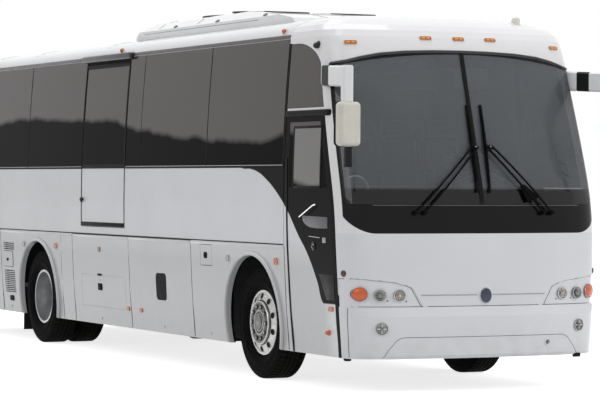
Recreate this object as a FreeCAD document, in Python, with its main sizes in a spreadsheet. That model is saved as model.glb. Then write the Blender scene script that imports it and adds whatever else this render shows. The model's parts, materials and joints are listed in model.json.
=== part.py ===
import FreeCAD, Part
import Sketcher
import math
import os
import re
from types import SimpleNamespace
from FreeCAD import Placement, Rotation, Vector

# Two-axle coach bus: x forward, y to the vehicle's left, z up, ground at zero.
# A place along the bus is given as its distance behind the front panel ("back").

os.makedirs("parts", exist_ok=True)
doc = FreeCAD.newDocument("CoachBus")

# Driving dimensions, in millimetres
dimensions = {
    # body shell
    "nose_x": 5320, "body_length": 10800, "half_width": 1273,
    "skirt_z": 300, "roof_z": 3313, "wall": 45, "seam": 6, "swing_gap": 12, "glass": 12,
    "arch_flare": 36, "flare_proud": 12,
    "front_corner": 450, "rear_corner": 260,
    "rub_z": 1242, "belt_z": 1935, "glass_top_z": 3083, "overrun": 40,
    "cap_back": 1420, "tail_cap_back": 10000,
    # windscreen and front
    "screen_low_z": 1622, "cowl_low_z": 1370, "screen_top_z": 2968, "screen_shoulder_z": 2852,
    "screen_shoulder_y": 1180, "screen_side_back": 235, "door_front_back": 340,
    "screen_divide": 26, "frame_depth": 32, "frame_face": 34,
    "cowl_side_y": 1252, "cowl_corner_y": 1000, "cowl_corner_z": 1562,
    "bumper_top_z": 742, "bumper_reach": 45, "bumper_edge_z": 661, "bumper_top_reach": 12,
    "bumper_low_z": 330, "bumper_low_reach": 34, "lamp_panel_height": 245, "lamp_panel_depth": 8,
    # doors and flaps
    "doorway_rear_back": 1388, "door_top_z": 2425,
    "lift_front_back": 5250, "lift_rear_back": 6510, "lift_low_z": 1330, "lift_top_z": 3035,
    "bay_front_back": 3530, "bay_mid_back": 5165, "bay_rear_back": 6790,
    "fuel_front_back": 3025, "fuel_rear_back": 3290, "fuel_low_z": 1012, "fuel_top_z": 1206,
    "service_front_back": 9170,
    "grille_front_back": 8710, "grille_rear_back": 9078, "grille_low_z": 524, "grille_high_z": 790,
    "vent_low_z": 1015, "vent_high_z": 1121, "slat_pitch": 22, "slat_gap": 12,
    "handle_front_back": 4180, "handle_size": 270, "handle_low_z": 625, "handle_depth": 30,
    "handle_round": 45,
    "inner_flap_front_back": 5285, "inner_flap_rear_back": 6550, "inner_flap_low_z": 480,
    "inner_flap_high_z": 820, "groove": 5,
    "engine_door_low_z": 700, "engine_door_top_z": 1780, "engine_door_half": 880,
    "tail_window_low_z": 2120, "tail_window_top_z": 2900, "tail_window_half": 900,
    "hatch_length": 640, "hatch_half": 300, "hatch_rise": 45,
    "hatch_front_back": 6700, "hatch_rear_back": 8900,
    # glazing posts
    "post": 90, "post_depth": 62, "header": 50,
    "pane_one_back": 3155, "pane_two_back": 4850, "pane_three_back": 8230,
    "driver_sill_z": 1760, "window_round_length": 420, "window_round_height": 210,
    # wheels and axles
    "front_axle_back": 2110, "rear_axle_back": 7910, "arch_radius": 600, "arch_z": 530,
    "tyre_radius": 515, "bead_radius": 286, "rim_lip": 298, "shoulder_low": 350, "shoulder_high": 468,
    "bead_half": 96, "tyre_half": 142.5, "tread_half": 118, "rim_half": 108, "carcass": 26,
    "wheel_y": 1030, "dual_spacing": 330, "rear_wheel_y": 1075, "rim_wall": 12,
    "hub_radius": 112, "hub_inner": 26, "hub_cap_radius": 72, "nave_radius": 205, "disc_wall": 20,
    "front_disc_root": 40, "front_disc_face": 84, "front_nave_face": 150, "nave_round": 14,
    "front_cap_face": 166, "front_bore_end": 92, "stub_reach": 85,
    "hand_hole_place": 240, "hand_hole_radius": 19, "hand_holes": 10,
    "rear_nave_radius": 150, "rear_hub_back": 230, "rear_disc_back": 176, "rear_disc_face": 154,
    "rear_disc_root": 96, "rear_root_back": 234, "rear_hub_face": 66, "rear_cap_face": 50,
    "rear_bore_end": 96, "rear_stub_short": 104, "stub_radius": 42, "run_gap": 0.05,
    "kingpin_y": 905, "kingpin_radius": 24, "yoke_radius": 52, "yoke_length": 150, "yoke_arm": 36,
    "axle_eye": 66, "eye_neck": 30, "beam_width": 90, "beam_drop": 95, "beam_depth": 80, "kingpin_gap": 3,
    "rear_tube_radius": 92, "diff_radius": 210, "diff_length": 330,
    # floor, chassis and inside
    "deck_low_z": 1246, "deck_z": 1300, "cab_floor_z": 960, "plate": 40,
    "well_y": 500, "bay_floor_z": 372, "inner_half": 1140,
    "rail_y": 420, "rail_width": 70, "rail_low_z": 640, "rail_height": 110, "bulkhead": 40,
    "well_rear_back": 2800, "tail_well_front_back": 7130,
    "tail_well_rear_back": 8700, "step_side_y": 350,
    "engine_front_back": 8980, "engine_rear_back": 10350, "engine_half": 430, "sump_depth": 180,
    "seat_pitch": 800, "seat_first_back": 2000, "seat_width": 930, "seat_side_y": 640,
    "seat_base": 440, "seat_height": 430, "cushion": 130, "back_height": 740, "back_depth": 110,
    "back_lean": 90,
    "seat_foot": 60, "driver_y": 560, "driver_back": 1230, "driver_width": 520,
    "dash_front_back": 400, "dash_depth": 380, "dash_top_z": 1640, "dash_low_y": 330, "dash_half": 1090,
    "wheel_ring": 235, "wheel_tube": 16, "wheel_back": 960, "wheel_hub_z": 1690,
    "wheel_lean_run": 100, "wheel_lean_rise": 140, "column_radius": 26, "spoke_radius": 11,
    "rack_low_z": 2700, "rack_top_z": 2900, "rack_inner_y": 780,
    # roof unit
    "pod_rear_back": 6050, "pod_half": 850, "pod_sink": 80, "pod_top_z": 3500,
    # lamps
    "turn_y": 1140, "turn_z": 854, "turn_radius": 58, "mid_y": 975, "inner_y": 806,
    "beam_radius": 50, "lamp_z": 842, "fog_y": 975, "fog_z": 560, "lamp_proud": 5,
    "marker_length": 110, "marker_height": 34, "marker_rise": 18, "side_marker": 34, "side_lamp_z": 1092,
    "cap_lamp_y": 1007, "cap_lamp_inner_y": 322, "cap_lamp_z": 3040, "cap_lamp_low_z": 3010,
    "tail_lamp_y": 1060, "tail_lamp_z": 1420, "tail_lamp_radius": 52, "tail_lamp_pitch": 125,
    # mirrors and wipers
    "mirror_x": 122.7, "mirror_y": 1390, "mirror_z": 2295, "mirror_width": 200, "mirror_height": 372,
    "mirror_depth": 120, "mirror_round": 38, "arm_root_back": 700, "arm_root_y": 1197, "arm_root_z": 2735,
    "arm_half": 88, "arm_wide": 44, "arm_turn_back": -100, "arm_turn_z": 2700, "arm_bend": 120,
    "arm_stem": 52, "arm_edge": 14, "bracket_width": 60, "bracket_drop": 176, "bracket_thick": 30,
    "wiper_y": 610, "wiper_z": 1545, "wiper_radius": 9, "wiper_top_z": 2110, "wiper_blade": 780,
    "wiper_rise": 26, "wiper_tip_y": 108, "wiper_blade_half": 14, "wiper_hub": 27,
    "rear_bumper_height": 165,
    "tow_y": 620, "tow_z": 420, "tow_radius": 18, "tow_wall": 16, "tow_depth": 110,
}

sheet = doc.addObject("Spreadsheet::Sheet", "Sizes")
for row, (alias, number) in enumerate(dimensions.items(), start=1):
    sheet.set(f"A{row}", alias)
    sheet.set(f"B{row}", str(number))
    sheet.setAlias(f"B{row}", alias)
doc.recompute()
s = SimpleNamespace(**{alias: float(sheet.get(alias)) for alias in dimensions})


# Small helpers
def at_back(distance):
    return s.nose_x - distance


def length(words):
    total, sign = 0.0, 1.0
    for word in words.split():
        if word in "+-":
            sign = -1.0 if word == "-" else 1.0
        else:
            total += sign * getattr(s, word)
    return total


def formula(words):
    """Sheet expression of a sum written in named sizes."""
    return re.sub(r"[a-z][a-z_]*", r"Sizes.\g<0>", words)


def block(back_rear, back_front, y_low, y_high, z_low, z_high):
    """Box between two distances behind the front panel."""
    size = (back_rear - back_front, y_high - y_low, z_high - z_low)
    return Part.makeBox(*size, Vector(at_back(back_rear), y_low, z_low))


def rod(start, end, radius):
    return Part.makeCylinder(radius, (end - start).Length, start, end - start)


def merged(shapes):
    shapes = list(shapes)
    return shapes[0].fuse(shapes[1:]).removeSplitter() if len(shapes) > 1 else shapes[0]


def solids_of(shape):
    return Part.makeCompound([solid for solid in shape.Solids])


sub_parts = []


def keep(piece, label):
    piece.Label = label
    sub_parts.append(piece)
    return piece


def feature(label, shape):
    piece = keep(doc.addObject("Part::Feature", label), label)
    piece.Shape = solids_of(shape)


def sheet_block(name, rear, front, y_low, y_high, z_low, z_high):
    """Box between two distances behind the front panel, bound to the sheet."""
    box = doc.addObject("Part::Box", name)
    for key, words in (("Length", f"({rear}) - ({front})"), ("Width", f"({y_high}) - ({y_low})"),
                       ("Height", f"({z_high}) - ({z_low})"), ("Placement.Base.x", f"nose_x - ({rear})"),
                       ("Placement.Base.y", y_low), ("Placement.Base.z", z_low)):
        box.setExpression(key, formula(words))
    return box


def sheet_rod(name, back, y_low, y_high, height, radius):
    """Cylinder across the bus, bound to the sheet."""
    bar = doc.addObject("Part::Cylinder", name)
    bar.Placement.Rotation = Rotation(Vector(1, 0, 0), -90)
    for key, words in (("Radius", radius), ("Height", f"({y_high}) - ({y_low})"),
                       ("Placement.Base.x", f"nose_x - ({back})"), ("Placement.Base.y", y_low),
                       ("Placement.Base.z", height)):
        bar.setExpression(key, formula(words))
    return bar


def welded(label, pieces):
    fusion = keep(doc.addObject("Part::MultiFuse", label), label)
    fusion.Shapes = pieces
    fusion.Refine = True


# Body shell: one set of levels gives the side section, the front and the tail
height_shares = (0.0, 0.0996, 0.1792, 0.3126, 0.4381, 0.5426, 0.6538, 0.7700, 0.8496, 0.8961,
                 0.9237, 0.9426, 0.9592, 0.9725, 0.9831, 0.9907, 0.9963, 1.0)
width_shares = (0.9521, 0.9710, 0.9827, 0.9969, 1.0, 0.9969, 0.9874, 0.9709, 0.9560, 0.9466,
                0.9403, 0.9285, 0.9018, 0.8523, 0.7659, 0.6363, 0.4399, 0.1964)
front_shares = (0.0, 0.0, 0.0, 0.0085, 0.0352, 0.0951, 0.1690, 0.2465, 0.2972, 0.3310,
                0.3620, 0.3950, 0.4400, 0.5000, 0.5800, 0.6800, 0.8100, 0.9800)
tail_shares = (0.0500, 0.0150, 0.0, 0.0, 0.0060, 0.0250, 0.0560, 0.1000, 0.1440, 0.1880,
               0.2380, 0.2900, 0.3600, 0.4400, 0.5400, 0.6600, 0.8000, 0.9700)
lamp_panel_shares = ((1.0, 1.0), (0.91, 1.0), (0.66, 0.86), (0.54, 0.67), (0.462, 0.0), (1.0, 0.0))
corner_shares = (0.3, 0.55, 0.75, 0.88, 0.95, 0.985, 0.998)
front_power, rear_power, corner_root = 2.2, 3.0, 0.25
hull_store = {}
gutter_level = 10
lower_levels = 12


def profile():
    """Height, half width, front and tail setback of each level."""
    rise = s.roof_z - s.skirt_z
    tail_reach = s.body_length - s.tail_cap_back
    return [
        (s.skirt_z + rise * h, s.half_width * w, s.cap_back * f, tail_reach * t)
        for h, w, f, t in zip(height_shares, width_shares, front_shares, tail_shares)
    ]


def normal_at(points, i):
    """Unit normal, outwards and upwards, of a polyline rising in its second value."""
    before = points[max(i - 1, 0)]
    after = points[min(i + 1, len(points) - 1)]
    du, dv = after[0] - before[0], after[1] - before[1]
    size = math.hypot(du, dv)
    return dv / size, -du / size


def read_off(points, height):
    """First value of a polyline at a height."""
    for (u0, v0), (u1, v1) in zip(points, points[1:]):
        if v1 >= height:
            return u0 + (u1 - u0) * (height - v0) / (v1 - v0)
    return points[-1][0]


def moved_in(points, depth):
    """A polyline moved square to itself by a depth."""
    moved = []
    for i, (u, v) in enumerate(points):
        out, up = normal_at(points, i)
        moved.append((u - depth * out, v - depth * up))
    return moved


def levels_at(depth):
    """Height, half width, front and tail setback of the levels, moved in by a depth."""
    levels = profile()
    sides = moved_in([(w, z) for z, w, _, _ in levels], depth)
    fronts = moved_in([(-f, z) for z, _, f, _ in levels], depth)
    tails = moved_in([(-t, z) for z, _, _, t in levels], depth)
    return [(z, w, -read_off(fronts, z), -read_off(tails, z)) for w, z in sides]


def end_curve(tip_x, corner_x, half, power):
    """Crowned end of a plan outline, from the right side to the left."""
    shares = [-u for u in reversed(corner_shares)] + [0.0] + list(corner_shares)
    points = [Vector(corner_x, -half, 0)]
    for share in shares:
        drop = 1 - (1 - abs(share) ** power) ** corner_root
        points.append(Vector(tip_x + (corner_x - tip_x) * drop, share * half, 0))
    points.append(Vector(corner_x, half, 0))
    curve = Part.BSplineCurve()
    curve.interpolate(points)
    return curve.toShape()


def end_outline(z, half, setback, depth, reach, base_back, nose):
    """Plan outline of the front or the tail, closed by a line across at its base."""
    scale = half / s.half_width
    base_x = at_back(base_back)
    if nose:
        tip = at_back(setback) + reach
        corner = max(at_back(setback + s.front_corner * scale - depth), base_x + s.seam)
        edge = end_curve(tip, corner, half, front_power)
    else:
        tip = at_back(s.body_length - setback) - reach
        corner = min(at_back(s.body_length - setback - s.rear_corner * scale + depth), base_x - s.seam)
        edge = end_curve(tip, corner, half, rear_power)
    rest = Part.makePolygon([Vector(corner, half, 0), Vector(base_x, half, 0),
                             Vector(base_x, -half, 0), Vector(corner, -half, 0)])
    wire = Part.Wire([edge] + rest.Edges)
    wire.translate(Vector(0, 0, z))
    return wire


def end_hull(depth, nose=True, reach=0.0):
    """Closed form of the front or tail below the roof dome, moved in by a depth."""
    key = (depth, nose, reach)
    if key not in hull_store:
        base = s.cap_back + s.overrun if nose else s.tail_cap_back - s.overrun
        wires = []
        for z, half, front, tail in levels_at(depth)[:lower_levels]:
            wires.append(end_outline(z, half, front if nose else tail, depth, reach, base, nose))
        low = wires[0].copy()
        low.translate(Vector(0, 0, -s.overrun))
        hull_store[key] = Part.makeLoft([low] + wires, True, False, False)
    return hull_store[key]


def end_layer(zone, out_depth, in_depth, nose=True, reach=0.0):
    """Part of the front or tail skin inside a zone, between two depths."""
    outside = end_hull(out_depth, nose, reach).common(zone)
    return outside.cut(end_hull(in_depth, nose).common(zone))


def dome(nose=True):
    """Closed roof end above the gutter line."""
    base = s.cap_back if nose else s.tail_cap_back
    wires = []
    for z, half, front, tail in profile()[gutter_level:]:
        wires.append(end_outline(z, half, front if nose else tail, 0.0, 0.0, base, nose))
    wires[0].translate(Vector(0, 0, s.glass_top_z - wires[0].BoundBox.ZMin))
    return Part.makeLoft(wires, True, True, False)


def section_curve(points):
    curve = Part.BSplineCurve()
    curve.interpolate([Vector(0, y, z) for y, z in points])
    return curve.toShape()


def side_layer(side, out_depth, in_depth, rear, front, z_low, z_high):
    """Straight stretch of side wall between two depths and two heights."""
    lines = []
    for depth in (out_depth, in_depth):
        points = [(side * w, z) for z, w, _, _ in levels_at(depth)[:lower_levels]]
        first = (points[0][0], points[0][1] - s.overrun)
        lines.append([first] + points)
    out_line, in_line = lines
    close_low = Part.makeLine(Vector(0, *out_line[0]), Vector(0, *in_line[0]))
    close_high = Part.makeLine(Vector(0, *out_line[-1]), Vector(0, *in_line[-1]))
    wire = Part.Wire(Part.__sortEdges__([section_curve(out_line), close_low, section_curve(in_line),
                                         close_high]))
    face = Part.Face(wire)
    face.translate(Vector(at_back(rear), 0, 0))
    solid = face.extrude(Vector(rear - front, 0, 0))
    return solid.common(block(rear, front, -far_y, far_y, z_low, z_high))


def roof_layer(out_depth, in_depth, rear, front):
    """Straight stretch of roof between two depths."""
    edges = []
    ends = []
    for depth in (out_depth, in_depth):
        half = [(w, z) for z, w, _, _ in levels_at(depth)[gutter_level:]]
        half[0] = (half[0][0], s.glass_top_z)
        line = [(-w, z) for w, z in half] + [(w, z) for w, z in reversed(half)]
        edges.append(section_curve(line))
        ends.append(line)
    for i in (0, -1):
        edges.append(Part.makeLine(Vector(0, *ends[0][i]), Vector(0, *ends[1][i])))
    face = Part.Face(Part.Wire(Part.__sortEdges__(edges)))
    face.translate(Vector(at_back(rear), 0, 0))
    return face.extrude(Vector(rear - front, 0, 0))


def rake_prism(back, z_low, z_high, y_low, y_high):
    """Everything ahead of a line a set distance behind the raked front."""
    points = [Vector(at_back(front + back), y_low, z) for z, _, front, _ in profile()[:lower_levels]]
    points.insert(0, points[0] - Vector(0, 0, s.overrun * 2))
    points.append(points[-1] + Vector(0, 0, s.front_corner))
    curve = Part.BSplineCurve()
    curve.interpolate(points)
    edge = curve.toShape()
    low, high = points[0], points[-1]
    ahead = at_back(-s.front_corner)
    corners = [high, Vector(ahead, y_low, high.z), Vector(ahead, y_low, low.z), low]
    wire = Part.Wire([edge] + Part.makePolygon(corners).Edges)
    prism = Part.Face(wire).extrude(Vector(0, y_high - y_low, 0))
    reach = at_back(-s.front_corner) - at_back(s.cap_back)
    slab = Part.makeBox(reach, y_high - y_low, z_high - z_low, Vector(at_back(s.cap_back), y_low, z_low))
    return prism.common(slab)


far_y = s.half_width + s.overrun


# Openings in the shell
def side_slab(back_rear, back_front, z_low, z_high, side, grow=0.0):
    y_low, y_high = (0.0, far_y) if side > 0 else (-far_y, 0.0)
    return block(back_rear + grow, back_front - grow, y_low, y_high, z_low - grow, z_high + grow)


def doorway(grow=0.0):
    """Entry doorway on the right, its front edge along the rake of the front."""
    rear = s.doorway_rear_back + (s.swing_gap if grow > 0 else grow)
    slab = block(rear, 0, -far_y, -s.half_width / 2, s.skirt_z - grow, s.door_top_z + grow)
    return slab.cut(rake_prism(s.door_front_back - grow, lower_z, s.glass_top_z, -far_y, 0))


def quarter_arc(start, end, corner):
    """Rounded corner from start to end, bulging towards the corner."""
    curve = Part.BezierCurve()
    curve.setPoles([start, (start + corner) / 2, (end + corner) / 2, end])
    return curve.toShape()


def screen_prism(back, low_z, drop=0.0, rounded=False):
    """Windscreen opening: arched top, sides along the rake, the cowl's corners round."""
    wide = s.half_width + s.overrun
    shoulder_z = s.screen_shoulder_z - drop
    shoulder_left = Vector(0, s.screen_shoulder_y, shoulder_z)
    shoulder_right = Vector(0, -s.screen_shoulder_y, shoulder_z)
    top = Part.Arc(shoulder_right, Vector(0, 0, s.screen_top_z - drop), shoulder_left).toShape()
    fall_z = shoulder_z - (wide - s.screen_shoulder_y)
    edges = [top]
    for side, shoulder in ((-1, shoulder_right), (1, shoulder_left)):
        run = [shoulder, Vector(0, side * wide, fall_z)]
        if rounded:
            corner = Vector(0, side * s.cowl_side_y, s.cowl_corner_z)
            foot = Vector(0, side * s.cowl_corner_y, low_z)
            run += [Vector(0, side * wide, s.cowl_corner_z), corner]
            edges.append(quarter_arc(corner, foot, Vector(0, side * s.cowl_side_y, low_z)))
            run_end = [foot, Vector(0, 0, low_z)]
        else:
            run += [Vector(0, side * wide, low_z)]
            run_end = [run[-1], Vector(0, 0, low_z)]
        edges += Part.makePolygon(run).Edges + Part.makePolygon(run_end).Edges
    face = Part.Face(Part.Wire(Part.__sortEdges__(edges)))
    face.translate(Vector(at_back(s.cap_back), 0, 0))
    solid = face.extrude(Vector(s.cap_back + s.front_corner, 0, 0))
    return solid.common(rake_prism(back, low_z, s.glass_top_z, -wide, wide))


def arch(back):
    """Round wheel arch through both sides."""
    centre = Vector(at_back(back), -far_y, s.arch_z)
    return Part.makeCylinder(s.arch_radius, 2 * far_y, centre, Vector(0, 1, 0))


bay_ranges = (("luggage_door", s.bay_mid_back - s.seam / 2, s.bay_front_back),
              ("lift_bay_door", s.bay_rear_back, s.bay_mid_back + s.seam / 2))
lower_z = s.skirt_z - s.overrun
bay_top_z = s.rub_z - s.seam
half_seam = s.seam / 2


def lift_gap():
    """Opening around the lift door, wider at the rear where the leaf swings past."""
    return side_slab(s.lift_rear_back + s.swing_gap - s.seam, s.lift_front_back, s.lift_low_z, s.lift_top_z,
                     -1, s.seam)


def hatch_slab(back, grow=0.0):
    return block(back + s.hatch_length + grow, back - grow, -s.hatch_half - grow, s.hatch_half + grow,
                 s.glass_top_z, s.roof_z + s.overrun + s.hatch_rise)


def engine_slab(grow=0.0):
    return block(s.body_length + s.overrun, s.tail_cap_back + s.rear_corner * 2, -s.engine_door_half - grow,
                 s.engine_door_half + grow, s.engine_door_low_z - grow, s.engine_door_top_z + grow)


def tail_window_slab():
    return block(s.body_length, s.tail_cap_back + s.rear_corner, -s.tail_window_half,
                 s.tail_window_half, s.tail_window_low_z, s.tail_window_top_z)


screen_opening = screen_prism(s.screen_side_back, s.cowl_low_z, rounded=True)


def window_round(grow, y_low):
    """Space ahead of the rounded upper front corner of the first side windows."""
    def front_at(z):
        return at_back(s.door_front_back - grow + read_off([(f, height) for height, _, f, _ in profile()], z))
    top, low = s.lift_top_z + grow, s.lift_top_z + grow - s.window_round_height
    above = Vector(front_at(top) - s.window_round_length, y_low, top)
    below = Vector(front_at(low), y_low, low)
    arc = quarter_arc(above, below, Vector(front_at(top), y_low, top))
    ahead = at_back(0)
    rest = Part.makePolygon([below, Vector(ahead, y_low, low), Vector(ahead, y_low, top + s.overrun),
                             above + Vector(0, 0, s.overrun), above])
    return Part.Face(Part.Wire([arc] + rest.Edges)).extrude(Vector(0, far_y, 0))


def driver_window(grow=0.0):
    slab = block(s.doorway_rear_back + grow, 0, 0, far_y, s.driver_sill_z - grow, s.lift_top_z + grow)
    ahead = rake_prism(s.door_front_back - grow, lower_z, s.glass_top_z, 0, far_y)
    return slab.cut(ahead).cut(window_round(grow, 0))


def over_door(grow=0.0):
    slab = block(s.doorway_rear_back + grow, 0, -far_y, 0, s.door_top_z + s.frame_face - grow,
                 s.lift_top_z + grow)
    ahead = rake_prism(s.door_front_back - grow, lower_z, s.glass_top_z, -far_y, 0)
    return slab.cut(ahead).cut(window_round(grow, -far_y))


# Outer panels
def wall_stretch(side, rear, front, z_low, z_high):
    return side_layer(side, 0, s.wall, rear, front, z_low, z_high)


def flare(side, back):
    """Raised lip along a wheel arch."""
    outer = s.arch_radius + s.arch_flare
    start = Vector(at_back(back), -far_y, s.arch_z)
    lip = side_layer(side, -s.flare_proud, s.wall / 2, back + outer, back - outer, s.skirt_z,
                     s.arch_z + outer)
    return lip.common(Part.makeCylinder(outer, 2 * far_y, start, Vector(0, 1, 0)))


def louvres(side, z_low, z_high):
    """Row of long slots with a slat between each pair."""
    slots = []
    count = int((z_high - z_low) // s.slat_pitch)
    for i in range(count):
        low = z_low + i * s.slat_pitch
        slots.append(side_slab(s.grille_rear_back, s.grille_front_back, low, low + s.slat_gap, side))
    return Part.makeCompound(slots)


def handle_cup(side):
    """Recess of a bay door's handle."""
    outer = s.half_width + s.overrun
    depth = outer - (s.half_width - s.wall) + s.handle_depth - s.groove
    rear = s.handle_front_back + s.handle_size
    cup = Part.makeBox(s.handle_size, depth, s.handle_size,
                       Vector(at_back(rear), -outer if side < 0 else outer - depth, s.handle_low_z))
    upright = [edge for edge in cup.Edges if abs(edge.tangentAt(edge.FirstParameter).y) > corner_root]
    return cup.makeFillet(s.handle_round, upright)


def inner_flap_groove(side):
    """Narrow groove round the flap within the lift bay's door."""
    def zone(inset):
        return (s.inner_flap_rear_back - inset, s.inner_flap_front_back + inset, s.inner_flap_low_z + inset,
                s.inner_flap_high_z - inset)
    ring = side_layer(side, -s.overrun, s.groove, *zone(0))
    rear, front, low, high = zone(s.groove)
    return ring.cut(side_slab(rear, front, low, high, side))


def bay_door(label, side, rear, front):
    leaf = wall_stretch(side, rear, front, s.skirt_z, bay_top_z)
    if label == "luggage_door":
        return leaf.cut(handle_cup(side))
    return leaf.cut(inner_flap_groove(side)) if side < 0 else leaf


def side_panels(side):
    """Belt panel, fenders and skirts of one side as one welded side."""
    front = s.cap_back if side > 0 else s.doorway_rear_back + s.swing_gap
    whole = wall_stretch(side, s.tail_cap_back, front, s.skirt_z, s.belt_z)
    for back in (s.rear_axle_back, s.front_axle_back):
        whole = whole.fuse(flare(side, back)).cut(arch(back))
    for low, high in ((s.grille_low_z, s.grille_high_z), (s.vent_low_z, s.vent_high_z)):
        whole = whole.cut(louvres(side, low, high))
    for _, rear, front in bay_ranges:
        whole = whole.cut(side_slab(rear, front, lower_z, bay_top_z, side, s.seam))
    whole = whole.cut(side_slab(s.tail_cap_back, s.service_front_back, lower_z, bay_top_z, side, s.seam))
    if side < 0:
        whole = whole.cut(lift_gap())
        whole = whole.cut(side_slab(s.fuel_rear_back, s.fuel_front_back, s.fuel_low_z, s.fuel_top_z,
                                    side, s.seam))
    return whole


def front_cap():
    """Screen surround, pillars and the closed dome above them."""
    ring = end_layer(block(s.cap_back, -s.overrun, -far_y, far_y, s.cowl_low_z, s.glass_top_z), 0, s.wall)
    behind_door = side_slab(s.cap_back + s.overrun, s.cap_back - s.header, s.cowl_low_z, s.belt_z, -1)
    for opening in (screen_opening, doorway(s.seam), behind_door, driver_window(), over_door()):
        ring = ring.cut(opening)
    return ring.fuse(dome())


def lamp_panel(side):
    """Shallow step round the three lamps of one side."""
    corners = [Vector(0, side * s.half_width * y, s.bumper_top_z + s.lamp_panel_height * z)
               for y, z in lamp_panel_shares]
    face = Part.Face(Part.makePolygon(corners + [corners[0]]))
    face.translate(Vector(at_back(s.door_front_back - s.seam), 0, 0))
    zone = face.extrude(Vector(s.cap_back, 0, 0))
    return end_layer(zone, -s.lamp_proud, s.lamp_panel_depth)


def front_panel():
    """Nose below the cowl, with the lower side behind the front wheel's left arch."""
    panel = end_layer(block(s.cap_back, -s.overrun, -far_y, far_y, s.bumper_top_z, s.cowl_low_z), 0, s.wall)
    rest = end_layer(block(s.cap_back, s.door_front_back, 0, far_y, s.skirt_z, s.bumper_top_z), 0, s.wall)
    behind_door = side_slab(s.cap_back + s.overrun, s.cap_back - s.header, s.skirt_z, s.cowl_low_z, -1)
    panel = panel.fuse(rest).cut(doorway(s.seam)).cut(behind_door).cut(arch(s.front_axle_back))
    panel = panel.cut(screen_opening)
    for side in (-1, 1):
        panel = panel.cut(lamp_panel(side))
        for y, z, radius in lamp_places():
            panel = panel.cut(lamp_tube(side * y, z, radius + s.run_gap))
    return panel


def bumper_form():
    """Closed form of the front bumper, drawn in above its upper and below its lower edge."""
    wires = []
    levels = profile()
    for z, reach in ((s.skirt_z, s.bumper_low_reach), (s.bumper_low_z, s.bumper_reach),
                     (s.bumper_edge_z, s.bumper_reach), (s.bumper_top_z, s.bumper_top_reach)):
        half = read_off([(w, height) for height, w, _, _ in levels], z)
        setback = read_off([(f, height) for height, _, f, _ in levels], z)
        wires.append(end_outline(z, half, setback, 0.0, reach, s.cap_back + s.overrun, True))
    return Part.makeLoft(wires, True, True, False)


def front_bumper():
    zone = block(s.door_front_back, -s.overrun - s.bumper_reach, -far_y, far_y, s.skirt_z, s.bumper_top_z)
    bar = bumper_form().common(zone).cut(end_hull(s.wall).common(zone)).cut(doorway(s.seam))
    for side in (-1, 1):
        bar = bar.cut(lamp_tube(side * s.fog_y, s.fog_z, s.beam_radius + s.run_gap))
    mouth = Vector(at_back(0), s.tow_y, s.tow_z)
    bar = bar.fuse(rod(mouth - Vector(s.tow_depth + s.tow_wall, 0, 0), mouth, s.tow_radius + s.tow_wall))
    return bar.cut(rod(mouth - Vector(s.tow_depth, 0, 0), mouth + Vector(s.front_corner, 0, 0), s.tow_radius))


def roof_shell():
    shell = roof_layer(0, s.wall, s.tail_cap_back, s.cap_back)
    for back in (s.hatch_front_back, s.hatch_rear_back):
        shell = shell.cut(hatch_slab(back, -s.header))
    return shell


def rear_cap():
    zone = block(s.body_length + s.overrun, s.tail_cap_back, -far_y, far_y, s.skirt_z, s.glass_top_z)
    ring = end_layer(zone, 0, s.wall, nose=False).cut(engine_slab(s.seam)).cut(tail_window_slab())
    ring = ring.cut(rear_bumper_zone())
    for side in (-1, 1):
        for z in tail_lamp_heights():
            ring = ring.cut(tail_tube(side * s.tail_lamp_y, z, s.tail_lamp_radius + s.run_gap))
    return ring.fuse(dome(nose=False))


def rear_bumper_zone():
    low = s.skirt_z + s.plate
    return block(s.body_length + s.bumper_reach + s.overrun, s.body_length - s.rear_corner, -far_y, far_y,
                 low, low + s.rear_bumper_height)


def rear_bumper():
    return end_layer(rear_bumper_zone(), 0, s.wall, nose=False, reach=s.bumper_reach)


# Glazing
def glass_stretch(side, rear, front):
    return side_layer(side, 0, s.glass, rear - half_seam, front + half_seam, s.belt_z, s.glass_top_z)


def side_panes(side):
    """Fixed flush panes of one side, with a seam between them."""
    joints = [s.cap_back, s.pane_one_back, s.pane_two_back, s.lift_front_back, s.lift_rear_back,
              s.pane_three_back, s.tail_cap_back]
    if side > 0:
        joints.remove(s.lift_front_back)
    panes = []
    for front, rear in zip(joints, joints[1:]):
        if side < 0 and front == s.lift_front_back:
            continue
        pane = glass_stretch(side, rear, front)
        panes += (pane.cut(lift_gap()) if side < 0 else pane).Solids
    window = over_door(-half_seam) if side < 0 else driver_window(-half_seam)
    panes += end_layer(window, 0, s.glass).Solids
    return Part.makeCompound(panes)


def window_frame(side):
    """Posts with a rail above and below, behind the panes of one side."""
    half = s.post / 2

    def strip(rear, front, z_low, z_high):
        return side_layer(side, s.glass, s.post_depth, rear, front, z_low, z_high)

    parts = [strip(s.tail_cap_back, s.cap_back, s.glass_top_z - s.header, s.glass_top_z),
             strip(s.tail_cap_back, s.cap_back, s.belt_z, s.belt_z + s.header)]
    posts = [s.cap_back + half, s.pane_one_back, s.pane_two_back, s.lift_rear_back + half, s.pane_three_back,
             s.tail_cap_back - half]
    if side < 0:
        posts.append(s.lift_front_back - half)
    for back in posts:
        parts.append(strip(back + half, back - half, s.belt_z, s.glass_top_z))
    frame = merged(parts)
    if side < 0:
        frame = frame.cut(lift_gap())
    return frame


def windscreen_zone(side):
    y_low, y_high = (s.screen_divide / 2, far_y) if side > 0 else (-far_y, -s.screen_divide / 2)
    half = block(s.cap_back, -s.overrun, y_low, y_high, s.screen_low_z, s.roof_z)
    pane = screen_prism(s.screen_side_back - s.frame_face, s.screen_low_z, s.frame_face)
    return pane.common(half)


def windscreen():
    return Part.makeCompound([solid for side in (-1, 1) for solid in
                              end_layer(windscreen_zone(side), 0, s.glass).Solids])


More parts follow.
